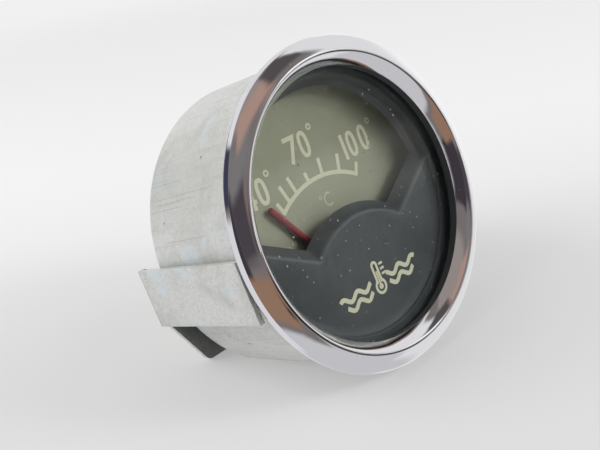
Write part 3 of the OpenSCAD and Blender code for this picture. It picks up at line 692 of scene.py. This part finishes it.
# pushes a turned piece's surface inwards along straight or helical grooves, by its place alone
def grooveRecipe():
    r = Recipe("grooves", base="geometry", starts="number", perMetre="number", depth="number", share="number",
               middleX="number", middleZ="number", low="number", high="number", within="number",
               finish="material")
    g = r.given
    endBy, skinBy = 8000, 100000        # how fast a groove runs out at its ends and under the skin, per metre

    def ramp(distance, rate):
        return (distance * rate).atLeast(0).atMost(1)

    place = r.add("GeometryNodeInputPosition")
    x, y, z = (r.add("ShaderNodeSeparateXYZ", {}, [place], out=axis) for axis in "XYZ")
    x, z = x - g["middleX"], z - g["middleZ"]
    radius = (x * x + z * z) ** 0.5
    angle = x.bearing(z) / (2 * math.pi)
    phase = (angle * g["starts"] + y * g["perMetre"]).fraction()
    flank = (phase - 0.5).size() * 2
    cut = (1 - flank / g["share"]).atLeast(0)
    inside = ramp(y - g["low"], endBy) * ramp(g["high"] - y, endBy)
    push = cut * inside * ramp(radius - g["within"], skinBy) * g["depth"] * -1
    away = r.add("ShaderNodeCombineXYZ", {}, {"X": x / radius.atLeast(1e-6) * push,
                                              "Z": z / radius.atLeast(1e-6) * push})
    r.close(r.add("GeometryNodeSetPosition", {}, {"Geometry": g["base"], "Offset": away}))
    return r


def windingRecipe():
    r = Recipe("woundWire", base="geometry", turns="number", radius="number", length="number", wire="number",
               finish="material")
    g = r.given
    helix = r.add("GeometryNodeCurveSpiral", {}, {"Resolution": 28, "Rotations": g["turns"],
                                                  "Start Radius": g["radius"], "End Radius": g["radius"],
                                                  "Height": g["length"]})
    section = r.add("GeometryNodeCurvePrimitiveCircle", {}, {"Resolution": 6, "Radius": g["wire"]})
    tube = r.add("GeometryNodeCurveToMesh", {}, {"Curve": helix, "Profile Curve": section, "Fill Caps": True})
    r.close(r.add("GeometryNodeSetShadeSmooth", {}, {"Geometry": tube}))
    return r


repeat, grooves, winding = repeatRecipe(), grooveRecipe(), windingRecipe()


# copies of a form at (x, depth, z, turn in degrees, reach), joined as one mesh
def repeated(name, form, places, finish):
    obj = asMesh(name, [p[:3] for p in places], [])
    for label, column, scale in (("turn", 3, math.pi / 180), ("reach", 4, 1.0)):
        layer = obj.data.attributes.new(label, "FLOAT", "POINT")
        layer.data.foreach_set("value", [p[column] * scale for p in places])
    repeat.make(obj, form=form, finish=finishes[finish])
    bpy.data.objects.remove(form)
    for label in ("turn", "reach"):
        layer = obj.data.attributes.get(label)
        if layer:
            obj.data.attributes.remove(layer)
    return obj


print("recipes made")


# case

caseForm = {"radius": 26.0, "wall": 0.5, "length": 25.3, "back": 0.8, "edge": 1.2, "flange": 27.1,
            "mouth": -0.9, "seat": -0.4, "lampHole": (7.0, 0, 16), "studHole": (2.6, 0, 0),
            "bushHole": (3.05, 12, 11), "screwHole": (1.2, 19.5, -3), "cut": (20, 30)}


def makeCase():
    c = caseForm
    inner = c["radius"] - c["wall"]
    outline = rounded([
        (inner, c["mouth"], 0.08), (c["flange"], c["mouth"], 0.1), (c["flange"], c["seat"], 0.1),
        (c["radius"], c["seat"], 0.1), (c["radius"], c["length"], c["edge"]), (0, c["length"], 0),
        (0, c["length"] - c["back"], 0), (inner, c["length"] - c["back"], c["edge"] - c["wall"])], 8)
    obj = turned("gaugeCase", outline)
    pairs = [(radius, side * x, z) for radius, x, z in (c["bushHole"], c["screwHole"]) for side in (-1, 1)]
    bored(obj, [c["lampHole"], c["studHole"]] + pairs, *c["cut"])
    smooth(obj, 32)
    settle(obj, "case", "gauge", "case")


makeCase()


# bezel

bezelForm = {"edge": 28.3, "side": -0.45, "corner": (27.93, -1.16), "slope": 29.6, "front": -2.628,
             "round": 0.7, "turnIn": 38.0, "turnEnd": 60.0, "lip": (23.1, -0.45), "lipFlat": 0.46,
             "sheet": 0.4, "hem": 26.1, "under": 28.12, "draft": 0.03, "fold": (27.62, -0.84),
             "foldEnd": 27.86, "bulge": 0.12, "bandSpan": (0.08, 0.94)}


def makeBezel():
    b = bezelForm
    corner, lip, sheet = np.array(b["corner"]), np.array(b["lip"]), b["sheet"]

    # unit vector out of the sheet, an angle outwards of straight ahead, and the one along the sheet
    def facing(degrees):
        a = math.radians(degrees)
        return np.array((math.sin(a), -math.cos(a))), np.array((-math.cos(a), -math.sin(a)))

    # centre of the crest's arc, touching the sloping band and the foremost plane
    out, along = facing(b["slope"])
    middleY = b["front"] + b["round"]
    middle = np.array(((corner @ out - b["round"] - out[1] * middleY) / out[0], middleY))
    skin = []
    bandEnd = middle + out * b["round"]
    for s in np.linspace(*b["bandSpan"], 12):
        skin.append((corner + (bandEnd - corner) * s + out * b["bulge"] * 4 * s * (1 - s), out))
    for angle in np.linspace(b["slope"], -b["turnIn"], 12):
        skin.append((middle + facing(angle)[0] * b["round"], facing(angle)[0]))

    # the inner wall rolls from the crest down to the lip
    start, first, last = skin[-1][0], facing(-b["turnIn"])[1], facing(-b["turnEnd"])[1]
    bend = start + first * np.linalg.solve(np.stack((first, last), 1), lip - start)[0]
    for s in np.linspace(0, 1, 9)[1:]:
        tangent = (bend - start) * (1 - s) + (lip - bend) * s
        tangent = tangent / np.linalg.norm(tangent)
        skin.append(((1 - s) ** 2 * start + 2 * s * (1 - s) * bend + s * s * lip,
                     np.array((-tangent[1], tangent[0]))))
    inside = [point - normal * sheet for point, normal in skin[::-1]]
    inside = [(*point, 0) for point in inside if point[1] < lip[1] - 0.1]
    outline = rounded([
        (b["hem"], -sheet, 0.05), (b["hem"], 0, 0.1), (b["under"], 0, 0.12),
        (b["edge"] + b["draft"], b["side"], 0.4), (*corner, 0.35),
        *[(*point, 0) for point, normal in skin[:-1]], (*lip, 0.07), (lip[0] + b["lipFlat"], lip[1], 0.07),
        *inside, (*b["fold"], 0.15), (b["foldEnd"], -sheet, 0.05)], 8, 0.05)
    obj = turned("bezelRing", outline, 288, edge=40)
    settle(obj, "chrome", "gauge", "bezel")


makeBezel()


# glass

glassForm = {"radius": 24.82, "front": 0.95, "back": 2.41, "edge": 0.12}


def makeGlass():
    g = glassForm
    outline = rounded([(0, g["front"], 0), (g["radius"], g["front"], g["edge"]),
                       (g["radius"], g["back"], g["edge"]), (0, g["back"], 0)], 3)
    settle(turned("glassDisc", outline, 192), "glass", "gauge", "glass")


makeGlass()


# mask

maskForm = {"window": 21.0, "sill": -9.6, "sillAngle": 29.5, "hump": 18.8, "humpZ": -19.1, "front": 3.0,
            "deep": 5.4, "run": 2.4, "sillRun": 2.05, "humpRun": 1.9, "cornerSoft": 0.07, "edgeSoft": 0.09,
            "face": 22.0, "rim": 22.3, "rimY": 2.45, "ledge": (22.4, 24.0), "inner": 24.95, "outer": 25.4,
            "flange": 26.3, "flangeSpan": (-1.3, -0.9), "back": 4.0, "chamfer": 0.05, "wall": 1.0,
            "rays": 720, "from": 12.0}


def makeMask():
    m = maskForm
    finishes["mask"] = maskPaint(m)
    slope = math.radians(m["sillAngle"])

    # how far outside the window a point is, 0 at its rear edge and 1 at the top of its sloping wall
    def outside(x, z):
        top = (np.hypot(x, z) - m["window"]) / m["run"]
        sill = (m["sill"] + abs(x) * math.tan(slope) - z) * math.cos(slope) / m["sillRun"]
        hump = (m["hump"] - np.hypot(x, z - m["humpZ"])) / m["humpRun"]
        soft = m["cornerSoft"]
        values = np.stack([top, sill, hump]) / soft
        peak = values.max(0)
        return soft * (peak + np.log(np.exp(values - peak).sum(0)))

    angles = np.arange(m["rays"]) * 2 * np.pi / m["rays"]
    across, upward = np.sin(angles), np.cos(angles)

    def place(s):
        return s * across, m["from"] + s * upward

    # distance along every ray at which a measure reaches a value
    def solve(measure, value):
        low, high = np.zeros(m["rays"]), np.full(m["rays"], 60.0)
        for _ in range(40):
            middle = (low + high) / 2
            below = measure(*place(middle)) < value
            low, high = np.where(below, middle, low), np.where(below, high, middle)
        return (low + high) / 2

    edge, rim = solve(outside, 0.0), solve(np.hypot, m["rim"])
    face = solve(np.hypot, m["face"])
    crease = np.minimum(solve(outside, 1.0), rim - 0.06)
    shoulder = np.maximum(face, crease + 0.02)

    def depth(x, z):
        soft = m["edgeSoft"]
        ramp = 1 - soft * np.logaddexp(0, (1 - outside(x, z)) / soft)
        y = m["deep"] - (m["deep"] - m["front"]) * np.minimum(ramp, 1)
        y = np.minimum(y, m["deep"])
        step = np.clip((np.hypot(x, z) - m["face"]) / (m["rim"] - m["face"]), 0, 1)
        step = step * step * (3 - 2 * step)
        return y * (1 - step) + m["rimY"] * step

    distances = [edge + (crease - edge) * share for share in
                 (0, .08, .18, .3, .42, .54, .66, .76, .84, .90, .95, 1)]
    gap = np.minimum(0.5, (shoulder - crease) / 3)
    distances += [crease + gap * share for share in (.12, .25, .42, .65, 1)]
    distances += [crease + gap + (shoulder - crease - gap) * share for share in
                  (.1, .2, .3, .4, .5, .6, .7, .8, .9, 1)]
    distances += [shoulder + (rim - shoulder) * share for share in (.2, .4, .6, .8, 1)]
    rows = []
    for s in distances:
        x, z = place(s)
        rows.append((x, depth(x, z), z))
    cut, inner, outer, flange, back = m["chamfer"], m["inner"], m["outer"], m["flange"], m["back"]
    front, rear = m["flangeSpan"]
    for radius, y in ((m["ledge"][0], m["rimY"]), (m["ledge"][1], m["rimY"]), (inner - cut, m["rimY"]),
                      (inner, m["rimY"] - cut), (inner, front + cut), (inner + cut, front),
                      (flange - cut, front), (flange, front + cut), (flange, rear - cut),
                      (flange - cut, rear), (outer, rear), (outer, back - cut), (outer - cut, back),
                      (m["ledge"][1], back)):
        x, z = place(solve(np.hypot, radius))
        rows.append((x, np.full(m["rays"], y), z))
    for s in reversed(distances[4:-5]):
        x, z = place(s)
        rows.append((x, np.minimum(depth(x, z) + m["wall"], m["deep"]), z))
    points = [tuple(p) for row in rows for p in np.stack(row, 1).tolist()]
    obj = solid("windowMask", points, loftFaces(len(rows), m["rays"]), 45)
    settle(obj, "mask", "gauge", "mask")


makeMask()
print("case, bezel, glass and mask made")


# dial: scale, numbers and sign

pivotZ = -14.4
scaleForm = {"face": 8.5, "radius": 17.22, "centre": -11.45, "width": 0.74, "reach": 33.9, "tickLift": 0.002,
             "ticks": [((-9.34, 2.93), (-10.16, 5.02)), ((-7.45, 4.34), (-8.35, 7.40)),
                       ((-5.32, 5.17), (-6.05, 8.14)), ((-1.83, 5.70), (-2.05, 7.50)),
                       ((1.68, 5.63), (2.02, 8.73)), ((5.67, 4.78), (6.63, 7.91)),
                       ((9.35, 3.05), (10.40, 4.96))]}


# closed line round an ellipse, squarer at a higher power
def ring(x, z, halfWidth, halfHeight, power=2.5, steps=48):
    line = []
    for k in range(steps):
        angle = 2 * math.pi * k / steps
        c, s = math.cos(angle), math.sin(angle)
        line.append((x + halfWidth * math.copysign(abs(c) ** (2 / power), c),
                     z + halfHeight * math.copysign(abs(s) ** (2 / power), s)))
    return line


def zero(x, z, high=2.36, wide=1.19):
    width = 0.73
    return {"line": ring(x, z, wide - width / 2, high - width / 2), "width": width, "closed": True}


def degreeSign(x, z, radius=0.44, width=0.32):
    return {"line": ring(x, z, radius, radius, 2, 24), "width": width, "closed": True}


def makeDial():
    s = scaleForm
    arc = [(s["radius"] * math.sin(a), s["centre"] + s["radius"] * math.cos(a))
           for a in np.radians(np.linspace(-s["reach"], s["reach"], 61))]
    settle(printed("scaleArc", [{"line": arc, "width": s["width"]}], s["face"]), "ink", "gauge")

    # one upright bar a millimetre long, stood at each division and stretched to its length
    side = s["width"] / 2
    bar = slab("bar", [(-side, 0), (side, 0), (side, 1), (-side, 1)], -inkForm["proud"] - s["tickLift"],
               inkForm["thick"] - inkForm["proud"])
    places = []
    for (x, z), (topX, topZ) in s["ticks"]:
        lean = math.degrees(math.atan2(topX - x, topZ - z))
        places.append((x, s["face"], z, lean, math.hypot(topX - x, topZ - z)))
    settle(repeated("scaleTicks", bar, places, "ink"), "ink", "gauge")

    numbers = {
        "numberLow": [zero(-12.05, 7.95), degreeSign(-9.9, 10.4),
                      {"line": [(-13.75, 6.95), (-16.55, 6.95), (-14.75, 10.25)], "width": 0.71},
                      {"line": [(-14.5, 5.6), (-14.5, 8.9)], "width": 0.73, "lift": 0.004}],
        "numberMiddle": [zero(0.25, 11.98, 2.36, 1.22), degreeSign(2.64, 14.39),
                         {"line": [(-4.15, 13.95), (-1.72, 13.95), (-3.58, 9.62)], "width": 0.77}],
        "numberHigh": [zero(11.02, 8.28, 2.38, 1.18), zero(14.25, 8.38, 2.38, 1.15), degreeSign(16.7, 10.77),
                       {"line": [(8.85, 5.95), (8.85, 10.6)], "width": 0.76}],
    }
    for name, strokes in numbers.items():
        settle(printed(name, strokes, s["face"]), "ink", "gauge")

    # a faint degree sign and C under the scale
    bend = [(1.0 + 0.95 * math.cos(a), 1.5 + 1.1 * math.sin(a)) for a in np.radians(np.linspace(48, 312, 25))]
    strokes = [{"line": bend, "width": 0.40}, degreeSign(-0.75, 2.3, 0.30, 0.22)]
    settle(printed("celsiusSign", strokes, s["face"]), "faintInk", "gauge")


makeDial()


# sign on the mask: a thermometer standing in waves

signForm = {"face": 3.0, "middle": -13.6, "wave": 3.7, "crest": 1.9, "swell": 0.50, "stroke": 0.78,
            "waves": [(-0.45, 2.1, 10.0), (-2.05, 2.3, 8.9)],        # each row's height, start and end
            "tube": 0.55, "top": 2.2, "waist": -0.75, "bulb": 1.15, "bulbZ": -1.62, "line": 0.50,
            "mercury": (-1.3, 1.1), "mercuryWidth": 0.40, "drop": 0.26, "marks": (2.0, 1.1, 0.2),
            "markSpan": (1.15, 2.1), "markWidth": 0.42}


def makeSign():
    s = signForm
    middle, tube = s["middle"], s["tube"]
    strokes = []
    for side in (-1, 1):
        for row, start, end in s["waves"]:
            xs = np.linspace(start, end, 60)
            zs = middle + row + s["swell"] * np.cos(2 * math.pi * (xs - s["crest"]) / s["wave"])
            strokes.append({"line": list(zip(side * xs, zs)), "width": s["stroke"]})
    bulb = [(s["bulb"] * math.cos(a), middle + s["bulbZ"] + s["bulb"] * math.sin(a))
            for a in np.radians(np.linspace(50, -230, 33))]
    top = [(tube * math.cos(a), middle + s["top"] + tube * math.sin(a))
           for a in np.radians(np.linspace(160, 20, 7))]
    outline = [(tube, middle + s["top"]), (tube, middle + s["waist"]), *bulb,
               (-tube, middle + s["waist"]), (-tube, middle + s["top"]), *top]
    drop = ring(0, middle + s["bulbZ"], s["drop"], s["drop"], 2, 20)
    strokes += [{"line": outline, "width": s["line"], "closed": True},
                {"line": drop, "width": s["line"], "closed": True, "lift": 0.004},
                {"line": [(0, middle + z) for z in s["mercury"]], "width": s["mercuryWidth"], "lift": 0.008}]
    for z in s["marks"]:
        strokes.append({"line": [(x, middle + z) for x in s["markSpan"]], "width": s["markWidth"]})
    settle(printed("waterSign", strokes, s["face"]), "ink", "gauge")


makeSign()
print("dial and signs made")


# pointer

pointerForm = {"depth": 7.0, "drop": 0.6, "length": 23.3, "radius": 0.61, "from": 2.4, "straight": 3.0,
               "tail": 6.5, "rest": 33.5, "eye": 2.7, "bore": 2.03, "thick": 0.65}


def makePointer():
    p = pointerForm
    radius, front, rear = p["radius"], -p["thick"], p["thick"] + p["drop"]
    arc = [(radius * math.cos(a), p["length"] - radius + radius * math.sin(a))
           for a in np.linspace(0, math.pi / 2, 9)]
    rod = turned("pointerRod", [(0, p["from"]), (radius, p["from"]), (radius, p["straight"])] + arc, 40)
    tail = turned("tailRod", [(0, -p["from"]), (radius, -p["from"]), (radius, -p["tail"]),
                              (0, -p["tail"])], 40)
    eye = turned("pointerEye", rounded([(p["bore"], front, .08), (p["eye"], front, .2),
                                        (p["eye"], rear, .2), (p["bore"], rear, .08)], 3), 96)
    lean = Matrix.Rotation(math.radians(-p["rest"]), 4, "Y")
    stand = Matrix.Translation(Vector((0, p["depth"], pivotZ)) * mm)
    upright = Matrix.Rotation(math.radians(90), 4, "X")
    lower = Matrix.Translation((0, p["drop"] * mm, 0))
    for part, matrix in ((rod, lower @ upright), (tail, upright), (eye, Matrix.Identity(4))):
        part.data.transform(stand @ lean @ matrix)
    joined("pointerRod", rod, tail, eye)
    smooth(rod, 40)
    settle(rod, "pointer", "pointer_unit", "pointer")


makePointer()


# bracket

bracketForm = {"sheet": 1.0, "out": 28.0, "bend": 1.4, "back": 29.2, "front": 0.7, "rise": 6.2, "head": 13.0,
               "waist": (22.5, -0.1), "drop": 17.5, "foot": 22.4, "footRound": 1.4, "footTurn": -28.0,
               "legTop": (1.6, 2.5), "legFoot": (-8.7, -7.8), "hole": 2.8, "cut": (27, 31), "edge": 0.14,
               "levels": 8}


def makeBracket():
    b = bracketForm
    half = b["sheet"] / 2
    flat = b["out"] - b["bend"]
    roll = b["bend"] - half
    arc = roll * math.pi / 2
    bent = flat + arc
    leg = b["back"] - b["bend"] - b["front"]
    footX, footZ = b["foot"] - b["footRound"], b["footRound"] - b["drop"]
    footTurn = math.radians(b["footTurn"])

    # middle of the sheet and its outward side at a distance along the developed strip
    def course(u):
        if u <= flat:
            return (u, b["back"] - half), (0, 1)
        if u <= bent:
            a = (u - flat) / roll
            middle = (flat + roll * math.sin(a), b["back"] - b["bend"] + roll * math.cos(a))
            return middle, (math.sin(a), math.cos(a))
        return (b["out"] - half, b["back"] - b["bend"] - (u - bent)), (1, 0)

    # lower and upper edge of the strip there
    def span(u):
        share = max(0.0, (u - bent) / leg)
        high = b["legTop"][1] + (b["legTop"][0] - b["legTop"][1]) * share
        low = b["legFoot"][1] + (b["legFoot"][0] - b["legFoot"][1]) * share
        if u < flat:
            high = np.interp(u, (b["head"], b["waist"][0], flat), (b["rise"], b["waist"][1], b["legTop"][1]))
            cornerU = footX + b["footRound"] * math.cos(footTurn)
            cornerZ = footZ + b["footRound"] * math.sin(footTurn)
            if u > cornerU:
                low = cornerZ + (b["legFoot"][1] - cornerZ) * (u - cornerU) / (flat - cornerU)
            elif u > footX:
                low = footZ - math.sqrt(b["footRound"] ** 2 - (u - footX) ** 2)
            else:
                low = -b["drop"]
        return low, high

    # places along the strip where a row of points stands, mirrored to the other side
    footArc = footX + b["footRound"] * np.cos(np.radians(np.linspace(-90, b["footTurn"], 8)))
    stations = sorted(set(round(u, 4) for u in [
        *np.linspace(0, b["head"], 8), *np.linspace(b["head"], footX, 5), b["waist"][0], *footArc,
        *np.linspace(b["foot"] - 0.1, flat, 5)[1:], *np.linspace(flat, bent, 11), bent + 0.3,
        *np.linspace(bent, bent + leg, 12)]))
    stations = [-u for u in reversed(stations) if u > 0] + stations
    levels = b["levels"]
    points, faces = [], []
    for u in stations:
        (x, y), (nx, ny) = course(abs(u))
        low, high = span(abs(u))
        side = -1 if u < 0 else 1
        for skin in (half, -half):
            for k in range(levels + 1):
                points.append((side * (x + nx * skin), y + ny * skin, low + (high - low) * k / levels))
    n = levels + 1
    for i in range(len(stations) - 1):
        a, c = i * 2 * n, (i + 1) * 2 * n
        for k in range(levels):
            faces += [[a + k, c + k, c + k + 1, a + k + 1],
                      [a + n + k, a + n + k + 1, c + n + k + 1, c + n + k]]
        faces += [[a, a + n, c + n, c], [a + levels, c + levels, c + n + levels, a + n + levels]]
    for a in (0, (len(stations) - 1) * 2 * n):
        faces += [[a + k, a + k + 1, a + n + k + 1, a + n + k] for k in range(levels)]
    obj = solid("clampBracket", points, faces)
    bored(obj, [(b["hole"], 0, 0)], *b["cut"])
    soften = obj.modifiers.new("edge", "BEVEL")
    soften.width, soften.segments, soften.limit_method = b["edge"] * mm, 2, "ANGLE"
    soften.angle_limit = math.radians(50)
    applied(obj)
    smooth(obj, 35)
    settle(obj, "bracket", "clamp", "bracket")


makeBracket()
print("pointer and bracket made")


# nuts, washers, studs and screws

nutShape = {"flatShare": 0.97, "chamfer": 30.0, "boreWide": 0.2, "boreDeep": 0.18, "steps": 96}


# hexagon nut with chamfered corners, its first face at a depth
def hexNut(name, across, height, bore, depth=0.0):
    n = nutShape
    half = across / 2
    inner = half * n["flatShare"]
    rows = [[] for _ in range(8)]
    for k in range(n["steps"]):
        angle = 2 * math.pi * k / n["steps"]
        reach = half / math.cos((angle + math.pi / 6) % (math.pi / 3) - math.pi / 6)
        cut = (reach - inner) * math.tan(math.radians(n["chamfer"]))
        lower = [(bore, n["boreDeep"]), (bore + n["boreWide"], 0), (inner, 0), (reach, cut)]
        upper = [(radius, height - y) for radius, y in reversed(lower)]
        for row, (radius, y) in zip(rows, lower + upper):
            row.append((radius * math.sin(angle), depth + y, radius * math.cos(angle)))
    return solid(name, [p for row in rows for p in row], loftFaces(len(rows), n["steps"]), 18)


slotSize = 0.45        # width and depth of a screw's slot


# slotted cheese head screw, head in front, its seat at depth 0, or turned round to face the back
def slottedScrew(name, headRadius, headHeight, radius, length, behind=False):
    outline = rounded([(0, -headHeight, 0), (headRadius, -headHeight, 0.2), (headRadius, 0, 0.05),
                       (radius, 0, 0), (radius, length, 0.15), (0, length, 0)], 4)
    obj = turned(name, outline, 48)
    wide, half = headRadius + 1, slotSize / 2
    cutAway(obj, [slab("slot", [(-wide, -half), (wide, -half), (wide, half), (-wide, half)],
                       -headHeight - 1, -headHeight + slotSize)])
    if behind:
        obj.data.transform(Matrix.Rotation(math.pi, 4, "Z"))
    smooth(obj, 32)
    return obj


# stud with a chamfered head; the rings of points along its shank carry the grooves of the thread
def threaded(name, s, x=0.0, z=0.0):
    radius, front, head, end = s["radius"], s["front"], s["head"], s["end"]
    rings = [(radius, y) for y in np.arange(s["rings"], end - s["tip"], s["pitch"] / s["perTurn"])]
    outline = [(0, front), (head - s["chamfer"], front), (head, front + s["chamfer"]), (head, s["headEnd"]),
               (radius, s["headEnd"]), *rings, (radius, end - s["tip"]), (radius - s["tip"], end), (0, end)]
    obj = turned(name, outline, s["steps"], (x, z))
    return grooves.make(obj, starts=1.0, perMetre=1 / (s["pitch"] * mm), depth=s["cut"] * mm, share=0.95,
                        middleX=x * mm, middleZ=z * mm, low=s["thread"] * mm, high=(end - 0.1) * mm,
                        within=(radius - 0.1) * mm, finish=finishes[s["finish"]])


def bothSides(x, y, z, turnBy=(0.0, 0.0)):
    return [(side * x, y, z, angle, 1.0) for side, angle in zip((-1, 1), turnBy)]


terminalForm = {"x": 12.0, "z": 11.0, "nut": 6.0, "nutHeight": 2.2, "nuts": (26.3, 29.1),
                "turns": ((14.0, 47.0), (31.0, 8.0)), "play": 0.03,
                "stud": {"radius": 1.75, "front": 21.9, "head": 3.2, "headEnd": 23.4, "chamfer": 0.15,
                         "end": 33.0, "tip": 0.3, "rings": 26.4, "thread": 26.5, "pitch": 0.6, "perTurn": 6,
                         "cut": 0.3, "steps": 48, "finish": "brass"}}


def makeTerminals():
    t = terminalForm
    nut = hexNut("terminalNut", t["nut"], t["nutHeight"], t["stud"]["radius"] + t["play"])
    places = []
    for y, angles in zip(t["nuts"], t["turns"]):
        places += bothSides(t["x"], y, t["z"], angles)
    obj = repeated("terminalNuts", nut, places, "brass")
    smooth(obj, 18)
    settle(obj, "brass", "gauge", "terminal_nuts")
    obj = joined("terminalStuds", *[threaded("stud", t["stud"], side * t["x"], t["z"]) for side in (-1, 1)])
    smooth(obj, 60)
    settle(obj, "brass", "gauge", "terminal_studs")


makeTerminals()

studForm = {"nut": 8.0, "nutHeight": 2.4, "seat": 25.3, "play": 0.03,
            "stud": {"radius": 2.5, "front": 21.5, "head": 4.0, "headEnd": 23.3, "chamfer": 0.2, "end": 43.3,
                     "tip": 0.5, "rings": 28.4, "thread": 28.4, "pitch": 0.8, "perTurn": 8, "cut": 0.42,
                     "steps": 72, "finish": "plated"}}


def makeStud():
    s = studForm
    obj = threaded("threadedStud", s["stud"])
    smooth(obj, 60)
    settle(obj, "plated", "gauge", "centre_stud")
    obj = hexNut("studNut", s["nut"], s["nutHeight"], s["stud"]["radius"] + s["play"], s["seat"])
    settle(obj, "plated", "gauge", "stud_nut")


makeStud()

nutForm = {"radius": 6.0, "front": 30.4, "height": 5.5, "shoulder": 1.0, "bore": 2.55, "grooves": 30,
           "depth": 0.35, "share": 0.62, "under": 0.6}


def makeClampNut():
    n = nutForm
    first, radius, bore = n["front"], n["radius"], n["bore"]
    end, knurl = first + n["height"], first + n["shoulder"]
    outline = rounded([(bore + 0.3, first, 0), (radius - 1, first, 0.15), (radius - 1, knurl, 0.1),
                       (radius, knurl, 0.25), (radius, end, 0.3), (bore + 0.4, end, 0), (bore, end - 0.4, 0),
                       (bore, first + 0.3, 0)], 3)
    obj = turned("knurledNut", outline, n["grooves"] * 16)
    grooves.make(obj, starts=float(n["grooves"]), perMetre=0.0, depth=n["depth"] * mm, share=n["share"],
                 middleX=0.0, middleZ=0.0, low=(knurl - 0.2) * mm, high=(end + 0.2) * mm,
                 within=(radius - n["under"]) * mm, finish=finishes["brass"])
    smooth(obj, 28)
    settle(obj, "brass", "nut", "clamp_nut")


makeClampNut()

washerForm = {"bore": 2.75, "radius": 4.6, "front": 29.2, "thick": 1.2, "edge": 0.12, "split": 0.8,
              "steps": 120}


def makeSpringWasher():
    w = washerForm
    gap = w["split"] / 2 / ((w["bore"] + w["radius"]) / 2)
    corners = [(w["bore"], 0), (w["radius"], 0), (w["radius"], w["thick"]), (w["bore"], w["thick"])]
    section = rounded([(*corner, w["edge"]) for corner in corners], 2, 1)
    points, count = [], len(section)
    for angle in np.linspace(gap, 2 * math.pi - gap, w["steps"] + 1):
        across, upward = math.sin(angle), math.cos(angle)
        points += [(radius * across, w["front"] + y, radius * upward) for radius, y in section]
    last = w["steps"] * count
    ends = [list(range(count)), list(range(last + count - 1, last - 1, -1))]
    obj = solid("splitWasher", points, loftFaces(w["steps"] + 1, count, wrapped=False) + ends, 35)
    settle(obj, "steel", "clamp", "spring_washer")


makeSpringWasher()

screwForms = [
    {"name": "dialScrews", "node": "dial_screws", "finish": "brass", "slot": "brass", "head": (1.7, 0.9),
     "shank": (0.9, 4.0), "at": (17.5, 8.5, -8.0), "turns": (25.0, -40.0)},
    {"name": "bridgeScrews", "node": "bridge_screws", "finish": "steel", "slot": "steel", "head": (1.7, 0.9),
     "shank": (0.9, 4.0), "at": (9.5, 13.0, -17.4), "turns": (10.0, 65.0)},
    {"name": "backScrews", "node": "movement_screws", "finish": "steel", "slot": "steel", "head": (2.1, 1.2),
     "shank": (1.1, 1.9), "at": (19.5, 25.3, -3.0), "turns": (-20.0, 50.0), "behind": True},
]
for form in screwForms:
    screw = slottedScrew("screw", *form["head"], *form["shank"], behind=form.get("behind", False))
    obj = repeated(form["name"], screw, bothSides(*form["at"], form["turns"]), form["finish"])
    smooth(obj, 32)
    settle(obj, form["finish"], "gauge", form["node"])
print("fasteners made")


# windings

coilForm = {"lean": 45.0, "depth": 15.4, "near": 8.6, "length": 10.5, "radius": 4.0, "wire": 0.14,
            "turns": 37.5, "play": 0.05}


def makeWindings():
    c = coilForm
    for side, name in ((-1, "left"), (1, "right")):
        obj = asMesh("wound" + name.title(), [], [])
        winding.make(obj, turns=c["turns"], radius=(c["radius"] - c["wire"]) * mm,
                     length=(c["length"] - 2 * (c["wire"] + c["play"])) * mm, wire=c["wire"] * mm,
                     finish=finishes["copper"])
        stand = Matrix.Translation(Vector((0, c["depth"], pivotZ)) * mm)
        lean = Matrix.Rotation(math.radians(side * c["lean"]), 4, "Y")
        rise = Matrix.Translation((0, 0, (c["near"] + c["wire"] + c["play"]) * mm))
        obj.data.transform(stand @ lean @ rise)
        settle(obj, "copper", "gauge", "winding_" + name)


makeWindings()
print("windings made")


# the remaining parts keep their solids and take their finishes

for part in frame["record"]["subparts"]:
    obj = frame["nodes"][part["node"]]
    if obj.hide_render:
        continue
    finish = finishes[slotFinish[part["material_slot"]]]
    if not obj.material_slots:
        obj.data.materials.append(finish)
    for slot in obj.material_slots:
        slot.material = finish
